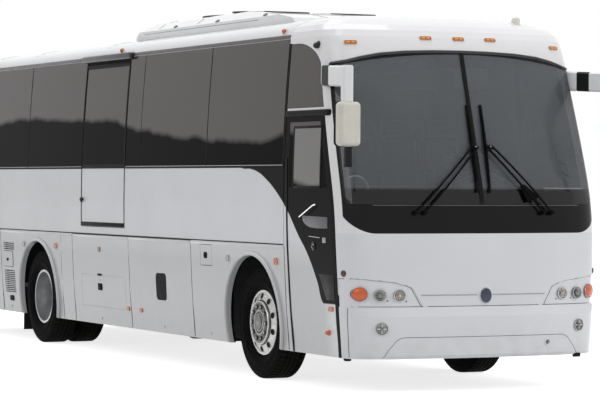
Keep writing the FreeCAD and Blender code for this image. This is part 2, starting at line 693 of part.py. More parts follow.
def windscreen_frame():
    """Black surround, centre strip and the cowl under the panes."""
    band = end_layer(screen_opening, 0, s.frame_depth)
    for side in (-1, 1):
        band = band.cut(windscreen_zone(side))
    return band


# Doors and flaps
def entry_door():
    return end_layer(doorway(), 0, s.wall).cut(door_light())


def door_light():
    """The window of the entry door."""
    zone = block(s.doorway_rear_back, 0, -far_y, 0, s.driver_sill_z, s.door_top_z)
    return doorway(-s.post).common(zone)


def lift_door():
    leaf = wall_stretch(-1, s.lift_rear_back, s.lift_front_back, s.lift_low_z, s.lift_top_z)
    return leaf.cut(lift_light())


def lift_light():
    inset = s.post / 2
    return side_slab(s.lift_rear_back - inset, s.lift_front_back + inset, s.belt_z + inset,
                     s.lift_top_z - inset, -1)


def hatch(back):
    """Roof hatch lid over its opening, clear of the roof."""
    rear, front = back + s.hatch_length, back
    return roof_layer(-s.hatch_rise, -s.seam, rear, front).common(hatch_slab(back))


# Lamps
def lamp_places():
    return ((s.turn_y, s.turn_z, s.turn_radius), (s.mid_y, s.lamp_z, s.beam_radius),
            (s.inner_y, s.lamp_z, s.beam_radius))


def lamp_tube(y, z, radius):
    return Part.makeCylinder(radius, s.door_front_back + s.overrun * 2,
                             Vector(at_back(s.door_front_back), y, z), Vector(1, 0, 0))


def front_lamps():
    lamps = []
    for side in (-1, 1):
        for y, z, radius in lamp_places():
            lamps += end_layer(lamp_tube(side * y, z, radius), -s.lamp_proud, s.wall).Solids
        fog = lamp_tube(side * s.fog_y, s.fog_z, s.beam_radius)
        lamps += end_layer(fog, -s.lamp_proud, s.wall, reach=s.bumper_reach).Solids
    return Part.makeCompound(lamps)


def marker_lamps():
    """Amber clearance lamps on the cap and amber side markers."""
    lamps = []
    half = s.marker_length / 2
    for y, z in ((-s.cap_lamp_y, s.cap_lamp_low_z), (-s.cap_lamp_inner_y, s.cap_lamp_z), (0, s.cap_lamp_z),
                 (s.cap_lamp_inner_y, s.cap_lamp_z), (s.cap_lamp_y, s.cap_lamp_low_z)):
        zone = block(s.cap_back, -s.overrun, y - half, y + half, z - s.marker_height / 2,
                     z + s.marker_height / 2)
        lamps += end_layer(zone, -s.marker_rise, 0).Solids
    reach = s.arch_radius - s.side_marker
    for back in (s.rear_axle_back + reach, s.rear_axle_back - reach, s.front_axle_back + reach):
        for side in (-1, 1):
            z = s.side_lamp_z
            lamps += side_layer(side, -s.marker_rise, 0, back + s.side_marker, back - s.side_marker,
                                z - s.side_marker, z + s.side_marker).Solids
    return Part.makeCompound(lamps)


def tail_lamp_heights():
    return [s.tail_lamp_z + step * s.tail_lamp_pitch for step in (-1, 0, 1)]


def tail_tube(y, z, radius):
    return Part.makeCylinder(radius, s.rear_corner * 2, Vector(at_back(s.body_length + s.rear_corner), y, z),
                             Vector(1, 0, 0))


def tail_lamps():
    lamps = []
    for side in (-1, 1):
        for z in tail_lamp_heights():
            tube = tail_tube(side * s.tail_lamp_y, z, s.tail_lamp_radius)
            lamps += end_layer(tube, -s.lamp_proud, s.wall, nose=False).Solids
    return Part.makeCompound(lamps)


# Floor, chassis and inside
def inner_body(depth, z_low, z_high, rear, front):
    """Space inside the straight stretch of the body at a depth."""
    points = [(w, z) for z, w, _, _ in levels_at(depth)[:lower_levels]]
    line = section_curve(points)
    other = section_curve([(-y, z) for y, z in points])
    low = Part.makeLine(Vector(0, *points[0]), Vector(0, -points[0][0], points[0][1]))
    high = Part.makeLine(Vector(0, *points[-1]), Vector(0, -points[-1][0], points[-1][1]))
    face = Part.Face(Part.Wire(Part.__sortEdges__([line, low, other, high])))
    face.translate(Vector(at_back(rear), 0, 0))
    return face.extrude(Vector(rear - front, 0, 0)).common(block(rear, front, -far_y, far_y, z_low, z_high))


def floor():
    deck = inner_body(s.wall, s.deck_low_z, s.deck_z, s.tail_cap_back, s.cap_back)
    cab = end_hull(s.wall + s.seam).common(block(s.cap_back, s.dash_front_back / 2, -s.step_side_y, far_y,
                                                 s.cab_floor_z - s.plate, s.cab_floor_z))
    riser = block(s.cap_back + s.plate, s.cap_back, -s.inner_half, s.inner_half, s.cab_floor_z - s.plate,
                  s.deck_z)
    pieces = [deck, cab, riser]
    count = 4
    rise = (s.cab_floor_z - s.bay_floor_z) / (count - 1)
    run = (s.inner_half - s.step_side_y) / (count - 1)
    for i in range(count - 1):
        top = s.bay_floor_z + rise * i
        outer_y = -s.inner_half + run * i
        pieces.append(block(s.cap_back, s.dash_front_back + s.post, outer_y, outer_y + run + s.plate,
                            top - s.plate, top))
        pieces.append(block(s.cap_back, s.dash_front_back + s.post, outer_y + run, outer_y + run + s.plate,
                            top - s.plate, top + rise))
    return merged(pieces)


def chassis():
    """Bay floor, bulkheads, wheel-house walls and the rails at both axles."""
    across = ("- inner_half", "inner_half")
    pieces = [sheet_block("bay_floor", "tail_well_front_back", "well_rear_back", *across,
                          "bay_floor_z - plate", "bay_floor_z")]
    for name, back, low in (("front_bulkhead", "well_rear_back", "bay_floor_z - plate"),
                            ("middle_bulkhead", "bay_mid_back", "bay_floor_z - plate"),
                            ("rear_bulkhead", "tail_well_front_back", "bay_floor_z - plate"),
                            ("engine_bulkhead", "tail_well_rear_back + bulkhead / 2", "rail_low_z")):
        pieces.append(sheet_block(name, f"{back} + bulkhead / 2", f"{back} - bulkhead / 2", *across,
                                  low, "deck_low_z"))
    rail_top = "rail_low_z + rail_height"
    for sign, name in (("-", "right"), ("", "left")):
        rail = (f"{sign} rail_y - rail_width / 2", f"{sign} rail_y + rail_width / 2")
        wall = (f"{sign} well_y - bulkhead / 2", f"{sign} well_y + bulkhead / 2")
        link = ("- well_y", "- rail_y") if sign else ("rail_y", "well_y")
        rail_front = "cap_back + plate" if sign else "dash_front_back + post"
        for end, rear, front, wall_rear, wall_front in (
                ("front", "well_rear_back", rail_front, "well_rear_back", "cap_back + plate"),
                ("rear", "engine_rear_back", "tail_well_front_back", "tail_well_rear_back",
                 "tail_well_front_back")):
            pieces.append(sheet_block(f"{end}_rail_{name}", rear, front, *rail, "rail_low_z", rail_top))
            pieces.append(sheet_block(f"{end}_well_wall_{name}", wall_rear, wall_front, *wall,
                                      rail_top, "deck_low_z"))
            pieces.append(sheet_block(f"{end}_well_foot_{name}", wall_rear, wall_front, *link,
                                      f"{rail_top} - plate / 2", f"{rail_top} + plate / 2"))
    welded("chassis", pieces)


def seat(back, y, width, floor_z):
    """One seat unit on its pedestal, facing forward, its backrest leaning to the rear."""
    top = floor_z + s.seat_height
    rear = back + s.seat_base
    outline = [(back, top - s.cushion), (back, top), (rear - s.back_depth, top),
               (rear - s.back_depth + s.back_lean, top + s.back_height),
               (rear + s.back_lean, top + s.back_height), (rear, top - s.cushion)]
    points = [Vector(at_back(u), y - width / 2, z) for u, z in outline]
    cushions = Part.Face(Part.makePolygon(points + [points[0]])).extrude(Vector(0, width, 0))
    foot = block(rear - s.seat_foot, back + s.seat_foot, y - s.seat_foot, y + s.seat_foot,
                 floor_z, top - s.cushion)
    return merged([cushions, foot])


def seats():
    units = []
    count = int((s.tail_cap_back - s.seat_first_back - s.seat_base) // s.seat_pitch) + 1
    for row in range(count):
        for side in (-1, 1):
            units.append(seat(s.seat_first_back + row * s.seat_pitch, side * s.seat_side_y, s.seat_width,
                              s.deck_z))
    units.append(seat(s.driver_back - s.seat_base + s.post, s.driver_y, s.driver_width, s.cab_floor_z))
    return Part.makeCompound(units)


def parcel_racks():
    racks = []
    rear, front = s.tail_cap_back - s.post, s.seat_first_back
    inside = inner_body(s.post_depth, s.rack_low_z, s.rack_top_z, rear, front)
    for side in (-1, 1):
        y_low, y_high = (s.rack_inner_y, far_y) if side > 0 else (-far_y, -s.rack_inner_y)
        racks += inside.common(block(rear, front, y_low, y_high, s.rack_low_z, s.rack_top_z)).Solids
    return Part.makeCompound(racks)


def dashboard():
    inner = end_hull(s.post_depth + s.seam)
    zone = block(s.dash_front_back + s.dash_depth, s.dash_front_back - s.overrun, -s.dash_low_y,
                 s.dash_half, s.cab_floor_z, s.dash_top_z)
    return inner.common(zone).cut(steering_wheel())


def steering_wheel():
    centre = Vector(at_back(s.wheel_back), s.driver_y, s.wheel_hub_z)
    lean = Vector(-s.wheel_lean_run, 0, s.wheel_lean_rise)
    lean.normalize()
    ring = Part.makeTorus(s.wheel_ring, s.wheel_tube, centre, lean)
    column_end = centre - lean * (s.dash_depth)
    pieces = [ring, rod(column_end, centre + lean * s.wheel_tube, s.column_radius)]
    for angle in (90, 210, 330):
        spoke = rod(centre, centre + Vector(0, s.wheel_ring, 0), s.spoke_radius)
        spoke.rotate(centre, lean, angle)
        pieces.append(spoke)
    return merged(pieces)


def roof_solid(rear, front):
    """Everything under the roof's outer face along a stretch."""
    half = [(w, z) for z, w, _, _ in profile()[gutter_level:]]
    line = [(-w, z) for w, z in half] + [(w, z) for w, z in reversed(half)]
    close = Part.makeLine(Vector(0, *line[0]), Vector(0, *line[-1]))
    face = Part.Face(Part.Wire([section_curve(line), close]))
    face.translate(Vector(at_back(rear), 0, 0))
    return face.extrude(Vector(rear - front, 0, 0))


# Roof unit
pod_back_shares = (1.0, 0.9975, 0.966, 0.926, 0.848, 0.729, 0.615, 0.525, 0.403, 0.355, 0.347)
pod_section_shares = ((0.0, 1.0), (0.35, 0.985), (0.66, 0.93), (0.88, 0.8), (1.0, 0.52), (0.94, -0.2))
pod_rise_shares = (0.0, 0.32, 0.62, 0.84, 0.97, 1.0, 0.93, 0.79, 0.53, 0.36, 0.1)


def roof_unit():
    """Air unit on the roof: crowned cover over sides that tuck in below a crease."""
    base_z = s.roof_z - s.pod_sink
    rise = s.pod_top_z - base_z
    points = [Vector(at_back(s.pod_rear_back * b), -s.pod_half, base_z + rise * h)
              for b, h in zip(pod_back_shares, pod_rise_shares)]
    body = Part.Face(Part.makePolygon(points + [points[0]])).extrude(Vector(0, 2 * s.pod_half, 0))
    half = [(s.pod_half * y, base_z + rise * z) for y, z in pod_section_shares]
    cover = [(-y, z) for y, z in reversed(half[1:-2])] + half[:-2]
    below = [Vector(0, y, z) for y, z in half[-3:]] + [Vector(0, -y, z) for y, z in reversed(half[-3:])]
    section = Part.Face(Part.Wire([section_curve(cover)] + Part.makePolygon(below).Edges))
    section.translate(Vector(at_back(s.pod_rear_back + s.overrun), 0, 0))
    crown = section.extrude(Vector(s.pod_rear_back, 0, 0))
    return body.common(crown).cut(roof_solid(s.pod_rear_back + s.overrun, s.cap_back))


# Running gear
def origin_plane(body, role):
    return next(plane for plane in body.Origin.OriginFeatures if plane.Role == role)


def new_body(label):
    body = keep(doc.addObject("PartDesign::Body", label), label)
    body.AllowCompound = True
    return body


def outline_sketch(body, name, corners):
    """Closed outline of radius and reach, each corner tied to the sheet."""
    sketch = body.newObject("Sketcher::SketchObject", name)
    sketch.AttachmentSupport = [(origin_plane(body, "XY_Plane"), "")]
    sketch.MapMode = "FlatFace"
    places = [(length(u), length(v)) for u, v in corners]
    count = len(corners)
    for i in range(count):
        start, end = places[i], places[(i + 1) % count]
        sketch.addGeometry(Part.LineSegment(Vector(*start, 0), Vector(*end, 0)), False)
    for i in range(count):
        sketch.addConstraint(Sketcher.Constraint("Coincident", i, 2, (i + 1) % count, 1))
    for i, (u, v) in enumerate(corners):
        for words, kind, axis, value in ((u, "DistanceX", -2, places[i][0]),
                                         (v, "DistanceY", -1, places[i][1])):
            if not words:
                sketch.addConstraint(Sketcher.Constraint("PointOnObject", i, 1, axis))
            else:
                index = sketch.addConstraint(Sketcher.Constraint(kind, -1, 1, i, 1, value))
                sketch.setExpression(f"Constraints[{index}]", formula(words))
    return sketch


def revolution(body, name, corners):
    sketch = outline_sketch(body, name + "_outline", corners)
    turn = body.newObject("PartDesign::Revolution", name)
    turn.Profile = sketch
    turn.ReferenceAxis = (sketch, ["V_Axis"])
    turn.Angle = 360
    return turn


def hole_circle(body, name, count):
    """Ring of round holes through the disc, about the axle."""
    sketch = body.newObject("Sketcher::SketchObject", name + "_outline")
    sketch.AttachmentSupport = [(origin_plane(body, "XZ_Plane"), "")]
    sketch.MapMode = "FlatFace"
    centre = Vector(s.hand_hole_place, 0, 0)
    sketch.addGeometry(Part.Circle(centre, Vector(0, 0, 1), s.hand_hole_radius), False)
    sketch.addConstraint(Sketcher.Constraint("PointOnObject", 0, 3, -1))
    place = sketch.addConstraint(Sketcher.Constraint("DistanceX", -1, 1, 0, 3, s.hand_hole_place))
    sketch.setExpression(f"Constraints[{place}]", formula("hand_hole_place"))
    radius = sketch.addConstraint(Sketcher.Constraint("Radius", 0, s.hand_hole_radius))
    sketch.setExpression(f"Constraints[{radius}]", formula("hand_hole_radius"))
    hole = body.newObject("PartDesign::Pocket", name)
    hole.Profile = sketch
    hole.Type = "ThroughAll"
    hole.Midplane = True
    ring = body.newObject("PartDesign::PolarPattern", name + "_ring")
    ring.Originals = [hole]
    ring.Axis = (sketch, ["N_Axis"])
    ring.Angle = 360
    ring.setExpression("Occurrences", formula(count))
    body.Tip = ring


def turned_over(words):
    """The same distance on the other side."""
    return "- " + words.replace(" - ", " ~ ").replace(" + ", " - ").replace(" ~ ", " + ")


def from_middle(middle, words):
    return f"{middle} {words}" if words.startswith("-") or not middle else f"{middle} + {words}"


def tyre_corners(middle):
    """Section of a tyre carcass, open towards the rim, about its middle plane."""
    half = [("bead_radius", "bead_half"), ("rim_lip", "bead_half"), ("shoulder_low", "tyre_half"),
            ("shoulder_high", "tyre_half"), ("tyre_radius", "tread_half")]
    inner = [("tyre_radius - carcass", "tread_half - carcass"), ("shoulder_high", "tyre_half - carcass"),
             ("shoulder_low", "tyre_half - carcass"), ("bead_radius", "bead_half - carcass")]
    section = half + [(r, turned_over(y)) for r, y in reversed(half)]
    section += [(r, turned_over(y)) for r, y in reversed(inner)] + inner
    return [(r, from_middle(middle, y)) for r, y in section]


def barrel_corners(middle):
    """Rim barrel of a wheel outside, from its inner flange to its outer flange."""
    flange = [("bead_radius - rim_wall", "rim_half"), ("rim_lip", "rim_half"), ("rim_lip", "bead_half"),
              ("bead_radius", "bead_half")]
    section = [(r, turned_over(y)) for r, y in flange] + list(reversed(flange))
    return [(r, from_middle(middle, y)) for r, y in section]


def front_rim_corners():
    """Front wheel: hub, hollow drum standing out past the flange, and the disc with its barrel."""
    inner = "bead_radius - rim_wall"
    drum_inner = "nave_radius - disc_wall"
    drum_end = "front_nave_face - disc_wall"
    inside = [("stub_radius + run_gap", "- hub_inner"), ("hub_radius", "- hub_inner"),
              ("hub_radius", drum_end), (drum_inner, drum_end), (drum_inner, "front_disc_face - disc_wall"),
              (inner, "front_disc_root")]
    outside = [(inner, "front_disc_root + disc_wall"), ("nave_radius", "front_disc_face"),
               ("nave_radius", "front_nave_face - nave_round"),
               ("nave_radius - nave_round", "front_nave_face"),
               ("hub_cap_radius", "front_nave_face"), ("hub_cap_radius", "front_cap_face"),
               ("", "front_cap_face"), ("", "front_bore_end"), ("stub_radius + run_gap", "front_bore_end")]
    return inside + barrel_corners("") + outside


def rear_rim_corners():
    """Twin rear wheels: two barrels on deep discs, the outer one a hollow bowl."""
    inner = "bead_radius - rim_wall"
    inside = [("stub_radius + run_gap", "- rear_hub_back"), ("hub_radius", "- rear_hub_back"),
              ("hub_radius", "- rear_disc_back"), ("rear_nave_radius", "- rear_disc_back"),
              (inner, "- rear_root_back")]
    outside = [(inner, "- rear_disc_root"), ("rear_nave_radius", "- rear_disc_face"),
               ("hub_radius", "- rear_disc_face"), ("hub_radius", "- rear_hub_face"),
               ("hub_cap_radius", "- rear_cap_face"), ("", "- rear_cap_face"), ("", "- rear_bore_end"),
               ("stub_radius + run_gap", "- rear_bore_end")]
    barrels = barrel_corners("- dual_spacing")[:-1] + barrel_corners("")[1:]
    return inside + barrels + outside


def set_wheel(body, back, reach, side):
    if side < 0:
        body.Placement = Placement(Vector(), Rotation(Vector(0, 0, 1), 180))
    body.setExpression("Placement.Base.x", formula("nose_x - " + back))
    body.setExpression("Placement.Base.y", formula(reach if side > 0 else "- " + reach))
    body.setExpression("Placement.Base.z", formula("tyre_radius"))


def wheels():
    for side, name in ((-1, "right"), (1, "left")):
        tyre = new_body("front_tyre_" + name)
        revolution(tyre, f"front_tread_{name}", tyre_corners(""))
        set_wheel(tyre, "front_axle_back", "wheel_y", side)
        rim = new_body("front_rim_" + name)
        revolution(rim, f"front_disc_{name}", front_rim_corners())
        hole_circle(rim, f"front_hand_hole_{name}", "hand_holes")
        set_wheel(rim, "front_axle_back", "wheel_y", side)
        twin = new_body("rear_tyre_" + name)
        revolution(twin, f"rear_tread_{name}", tyre_corners(""))
        revolution(twin, f"rear_inner_tread_{name}", tyre_corners("- dual_spacing"))
        set_wheel(twin, "rear_axle_back", "rear_wheel_y", side)
        dish = new_body("rear_rim_" + name)
        revolution(dish, f"rear_disc_{name}", rear_rim_corners())
        hole_circle(dish, f"rear_hand_hole_{name}", "hand_holes")
        set_wheel(dish, "rear_axle_back", "rear_wheel_y", side)


def knuckle(side):
    """Fork, kingpin and stub axle of a steered wheel."""
    pin = Vector(at_back(s.front_axle_back), side * s.kingpin_y, s.tyre_radius)
    half = s.yoke_length / 2
    eye = s.axle_eye / 2 + s.kingpin_gap
    pieces = [rod(pin - Vector(0, 0, half), pin + Vector(0, 0, half), s.kingpin_radius)]
    for sign in (-1, 1):
        low = pin + Vector(0, 0, sign * eye)
        high = pin + Vector(0, 0, sign * half)
        pieces.append(rod(low, high, s.yoke_radius))
    web_y = pin.y + side * (s.yoke_radius + s.kingpin_gap)
    arm = Part.makeBox(s.yoke_radius * 2, s.yoke_arm, s.yoke_length,
                       Vector(pin.x - s.yoke_radius, min(web_y, web_y + side * s.yoke_arm), pin.z - half))
    pieces.append(arm)
    for sign in (-1, 1):
        low_z = pin.z + sign * eye if sign > 0 else pin.z - half
        lug = Part.makeBox(s.yoke_radius * 2, s.yoke_radius + s.kingpin_gap, half - eye,
                           Vector(pin.x - s.yoke_radius, min(pin.y, web_y), low_z))
        pieces.append(lug)
    stub_start = Vector(pin.x, web_y, pin.z)
    stub_end = Vector(pin.x, side * (s.wheel_y + s.stub_reach), pin.z)
    pieces.append(rod(stub_start, stub_end, s.stub_radius))
    return merged(pieces)


def front_axle():
    """Dropped beam with an eye at each end for the kingpin."""
    x = at_back(s.front_axle_back)
    z = s.tyre_radius
    inner = s.kingpin_y - s.post * 2
    beam = Part.makeBox(s.beam_width, 2 * inner, s.beam_depth,
                        Vector(x - s.beam_width / 2, -inner, z - s.beam_drop - s.beam_depth / 2))
    pieces = [beam]
    for side in (-1, 1):
        pin = Vector(x, side * s.kingpin_y, z)
        half = s.axle_eye / 2
        riser_y = side * (inner - half)
        pieces.append(Part.makeBox(s.beam_width, s.axle_eye, s.beam_drop + s.beam_depth / 2 + half,
                                   Vector(x - s.beam_width / 2, riser_y - half,
                                          z - s.beam_drop - s.beam_depth / 2)))
        pieces.append(rod(Vector(x, riser_y, z), pin, s.eye_neck))
        pieces.append(rod(pin - Vector(0, 0, s.axle_eye / 2), pin + Vector(0, 0, s.axle_eye / 2),
                          s.yoke_radius))
        spring_low = Vector(x, side * s.rail_y, z - s.beam_drop)
        spring_high = Vector(x, side * s.rail_y, s.rail_low_z)
        pieces.append(rod(spring_low, spring_high, s.rail_width / 2 + s.plate))
    axle = merged(pieces)
    for side in (-1, 1):
        pin = Vector(x, side * s.kingpin_y, z)
        axle = axle.cut(rod(pin - Vector(0, 0, s.yoke_length), pin + Vector(0, 0, s.yoke_length),
                            s.kingpin_radius + s.run_gap))
    return axle


def rear_axle():
    """Tube with the drive housing and an end stub for each twin wheel."""
    back, height = "rear_axle_back", "tyre_radius"
    tube_end = "rear_wheel_y - dual_spacing - rim_half"
    stub_end = "rear_wheel_y - rear_stub_short"
    pieces = [sheet_rod("rear_tube", back, f"- ({tube_end})", tube_end, height, "rear_tube_radius"),
              sheet_rod("rear_stubs", back, f"- ({stub_end})", stub_end, height, "stub_radius"),
              sheet_rod("drive_housing", back, "- diff_length / 2", "diff_length / 2", height, "diff_radius")]
    for sign, name in (("-", "right"), ("", "left")):
        pieces.append(sheet_block(f"air_spring_{name}", f"{back} + rail_width", f"{back} - rail_width",
                                  f"{sign} rail_y - rail_width", f"{sign} rail_y + rail_width",
                                  height, "rail_low_z"))
    welded("rear_axle", pieces)


def check_document():
    doc.recompute()
    bad = [o.Name for o in doc.Objects if "Invalid" in o.State or "Error" in o.State]
    if bad:
        raise SystemExit("objects that failed: " + ", ".join(bad))


# Mirrors, wipers and small outer pieces
def arm_section(outer, inner, across):
    """Flat section of a mirror arm with its corners cut."""
    wide = across * s.arm_wide
    corners = [outer + wide, outer - wide, inner - wide, inner + wide]
    points = []
    for i, corner in enumerate(corners):
        for other in (corners[i - 1], corners[(i + 1) % len(corners)]):
            toward = other - corner
            toward.normalize()
            points.append(corner + toward * s.arm_edge)
    return Part.makePolygon(points + [points[0]])


def mirror_arm(side):
    """Moulded elbow from the pillar forward and down to the mirror head."""
    root = Vector(at_back(s.arm_root_back), side * s.arm_root_y, s.arm_root_z)
    turn = Vector(at_back(s.arm_turn_back), side * s.mirror_y, s.arm_turn_z)
    along = Vector(turn.x - root.x, turn.y - root.y, 0)
    along.normalize()
    up = Vector(0, 0, 1)
    across = along.cross(up)
    head_top = turn - up * (s.arm_turn_z - s.mirror_z - s.mirror_height / 2 + s.mirror_round)
    before, stem = turn - along * s.arm_bend, along * s.arm_stem
    stations = [(root + up * s.arm_half, root - up * s.arm_half),
                (before + up * s.arm_half, before - up * s.arm_half),
                (turn + stem + up * s.arm_half, turn - stem - up * s.arm_half),
                (head_top + stem, head_top - stem)]
    sections = [arm_section(outer, inner, across) for outer, inner in stations]
    return Part.makeLoft(sections, True, True, False)


def mirrors():
    """Two mirrors, each one moulding of arm, head and lower bracket."""
    pieces = []
    for side in (-1, 1):
        head_x = s.nose_x + s.mirror_x
        low_z = s.mirror_z - s.mirror_height / 2
        head = Part.makeBox(s.mirror_depth, s.mirror_width, s.mirror_height,
                            Vector(head_x - s.mirror_depth / 2, side * s.mirror_y - s.mirror_width / 2,
                                   low_z))
        head = head.makeFillet(s.mirror_round, head.Edges)
        bracket = Part.makeBox(s.bracket_thick, s.bracket_width, s.bracket_drop + s.mirror_round,
                               Vector(head_x - s.bracket_thick / 2, side * s.mirror_y - s.bracket_width / 2,
                                      low_z - s.bracket_drop))
        pieces.append(merged([mirror_arm(side), head, bracket]).cut(end_hull(0)))
    return Part.makeCompound(pieces)


def wipers():
    pieces = []
    top = -s.wiper_rise - s.wiper_radius * 2
    for side in (-1, 1):
        pivot_y = side * s.wiper_y
        tip_y = side * s.wiper_tip_y
        low, high = Vector(0, pivot_y, s.wiper_z), Vector(0, tip_y, s.wiper_top_z)
        across = (high - low).cross(Vector(1, 0, 0))
        across.normalize()
        corners = [low + across * s.wiper_radius, high + across * s.wiper_radius,
                   high - across * s.wiper_radius, low - across * s.wiper_radius]
        arm_face = Part.Face(Part.makePolygon(corners + [corners[0]]))
        arm_face.translate(Vector(at_back(s.cap_back), 0, 0))
        arm_zone = arm_face.extrude(Vector(s.cap_back + s.front_corner, 0, 0))
        blade_zone = block(s.cap_back, -s.front_corner, tip_y - s.wiper_blade_half,
                           tip_y + s.wiper_blade_half, s.wiper_top_z - s.wiper_blade / 2,
                           s.wiper_top_z + s.wiper_blade / 2)
        pivot_zone = Part.makeCylinder(s.wiper_hub, s.cap_back + s.front_corner,
                                       Vector(at_back(s.cap_back), pivot_y, s.wiper_z), Vector(1, 0, 0))
        pieces.append(merged([end_layer(arm_zone, top, -s.wiper_rise),
                              end_layer(blade_zone, top, -s.wiper_rise), end_layer(pivot_zone, top, 0)]))
    return Part.makeCompound(pieces)


def engine():
    """Plain block of the engine's size on the rear rails, with its sump between them."""
    low = "rail_low_z + rail_height"
    block_part = sheet_block("engine_block", "engine_rear_back - plate", "engine_front_back", "- engine_half",
                             "engine_half", low, "deck_low_z - plate")
    sump = sheet_block("engine_sump", "engine_rear_back - post * 2", "engine_front_back + post * 2",
                       "plate - rail_y + rail_width / 2", "rail_y - rail_width / 2 - plate",
                       f"{low} - sump_depth", low)
    welded("engine", [block_part, sump])


def build():
    shapes = {
        "roof": roof_shell(), "front_cap": front_cap(), "front_panel": front_panel(),
        "front_bumper": front_bumper(), "side_panels_right": side_panels(-1),
        "side_panels_left": side_panels(1), "rear_cap": rear_cap(), "rear_bumper": rear_bumper(),
        "glass_right": side_panes(-1), "glass_left": side_panes(1),
        "rear_glass": end_layer(tail_window_slab(), 0, s.glass, nose=False),
        "window_frames": Part.makeCompound([window_frame(-1), window_frame(1)]),
        "windscreen": windscreen(), "windscreen_frame": windscreen_frame(),
        "entry_door": entry_door(), "entry_door_glass": end_layer(door_light(), 0, s.glass),
        "lift_door": lift_door(),
        "lift_door_glass": side_layer(-1, 0, s.glass, s.lift_rear_back, s.lift_front_back, s.belt_z,
                                      s.glass_top_z).common(lift_light()),
        "fuel_flap": wall_stretch(-1, s.fuel_rear_back, s.fuel_front_back, s.fuel_low_z, s.fuel_top_z),
        "engine_door": end_layer(engine_slab(), 0, s.wall, nose=False),
        "roof_hatch_front": hatch(s.hatch_front_back), "roof_hatch_rear": hatch(s.hatch_rear_back),
        "front_lamps": front_lamps(), "marker_lamps": marker_lamps(), "tail_lamps": tail_lamps(),
        "floor": floor(), "seats": seats(), "parcel_racks": parcel_racks(),
        "dashboard": dashboard(), "steering_wheel": steering_wheel(), "roof_unit": roof_unit(),
        "front_axle": front_axle(),
        "knuckle_right": knuckle(-1), "knuckle_left": knuckle(1),
        "mirrors": mirrors(), "wipers": wipers(),
    }
    for side, name in ((-1, "right"), (1, "left")):
        for kind, rear, front in bay_ranges:
            label = kind if side < 0 else kind.replace("lift_bay", "rear_luggage")
            shapes[f"{label}_{name}"] = bay_door(kind, side, rear, front)
        shapes[f"service_door_{name}"] = wall_stretch(side, s.tail_cap_back - s.swing_gap,
                                                      s.service_front_back, s.skirt_z, bay_top_z)
    for label, shape in shapes.items():
        feature(label, shape)
    chassis()
    engine()
    rear_axle()
    wheels()


build()
check_document()
for piece in sub_parts:
    if piece.Shape.isNull() or not piece.Shape.isValid() or not piece.Shape.Solids:
        raise SystemExit("bad shape: " + piece.Label)
for piece in sub_parts:
    piece.Shape.exportStep(f"parts/{piece.Label}.step")
    print(piece.Label, len(piece.Shape.Solids), round(piece.Shape.Volume / 1e9, 4))
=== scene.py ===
import bpy
import json
import math
import random
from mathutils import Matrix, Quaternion, Vector

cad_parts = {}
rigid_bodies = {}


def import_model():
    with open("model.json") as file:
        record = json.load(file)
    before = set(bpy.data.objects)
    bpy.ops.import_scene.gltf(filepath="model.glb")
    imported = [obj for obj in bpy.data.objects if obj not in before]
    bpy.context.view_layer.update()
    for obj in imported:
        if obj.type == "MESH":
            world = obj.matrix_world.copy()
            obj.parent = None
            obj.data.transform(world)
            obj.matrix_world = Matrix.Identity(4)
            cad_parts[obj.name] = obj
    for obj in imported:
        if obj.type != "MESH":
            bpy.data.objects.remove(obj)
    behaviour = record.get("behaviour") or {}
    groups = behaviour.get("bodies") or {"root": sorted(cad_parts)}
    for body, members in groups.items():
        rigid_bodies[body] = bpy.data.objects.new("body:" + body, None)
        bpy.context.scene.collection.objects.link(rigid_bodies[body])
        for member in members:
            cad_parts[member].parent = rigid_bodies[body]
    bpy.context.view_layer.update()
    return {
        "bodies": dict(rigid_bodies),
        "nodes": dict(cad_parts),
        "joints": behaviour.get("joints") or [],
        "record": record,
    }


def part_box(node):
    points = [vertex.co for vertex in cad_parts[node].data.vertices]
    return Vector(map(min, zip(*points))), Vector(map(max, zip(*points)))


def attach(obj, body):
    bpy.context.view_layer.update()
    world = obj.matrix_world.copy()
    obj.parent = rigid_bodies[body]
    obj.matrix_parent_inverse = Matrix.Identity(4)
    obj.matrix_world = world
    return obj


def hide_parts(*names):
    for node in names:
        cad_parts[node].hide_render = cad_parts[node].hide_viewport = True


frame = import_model()
nodes = frame["nodes"]
random.seed(11)
noseX = 5.32  # the front panel's place along x; "back" is a distance behind it
print("frame loaded")


def deselectAll():
    if bpy.context.object and bpy.context.object.mode != "OBJECT":
        bpy.ops.object.mode_set(mode="OBJECT")
    bpy.ops.object.select_all(action="DESELECT")


def pickOnly(obj):
    deselectAll()
    obj.select_set(True)
    bpy.context.view_layer.objects.active = obj


def startEdit(obj, kind="VERT", chosen="SELECT"):
    pickOnly(obj)
    bpy.ops.object.mode_set(mode="EDIT")
    bpy.ops.mesh.select_mode(type=kind)
    bpy.ops.mesh.select_all(action=chosen)


def endEdit():
    bpy.ops.object.mode_set(mode="OBJECT")


def pickEdges(obj, test):
    startEdit(obj, "EDGE", "DESELECT")
    endEdit()
    points = obj.data.vertices
    for edge in obj.data.edges:
        edge.select = test(points[edge.vertices[0]].co, points[edge.vertices[1]].co)
    bpy.ops.object.mode_set(mode="EDIT")


def pickFaces(obj, test):
    startEdit(obj, "FACE", "DESELECT")
    endEdit()
    for face in obj.data.polygons:
        face.select = test(face)
    bpy.ops.object.mode_set(mode="EDIT")


def applyAll(obj):
    pickOnly(obj)
    for mod in list(obj.modifiers):
        bpy.ops.object.modifier_apply(modifier=mod.name)
    bpy.ops.object.transform_apply(location=True, rotation=True, scale=True)


def softEdges(obj, width, segments=2, angle=30):
    mod = obj.modifiers.new("soft edges", "BEVEL")
    mod.width = width
    mod.segments = segments
    mod.limit_method = "ANGLE"
    mod.angle_limit = math.radians(angle)
    return mod


def outwards(obj):
    startEdit(obj)
    bpy.ops.mesh.normals_make_consistent(inside=False)
    endEdit()


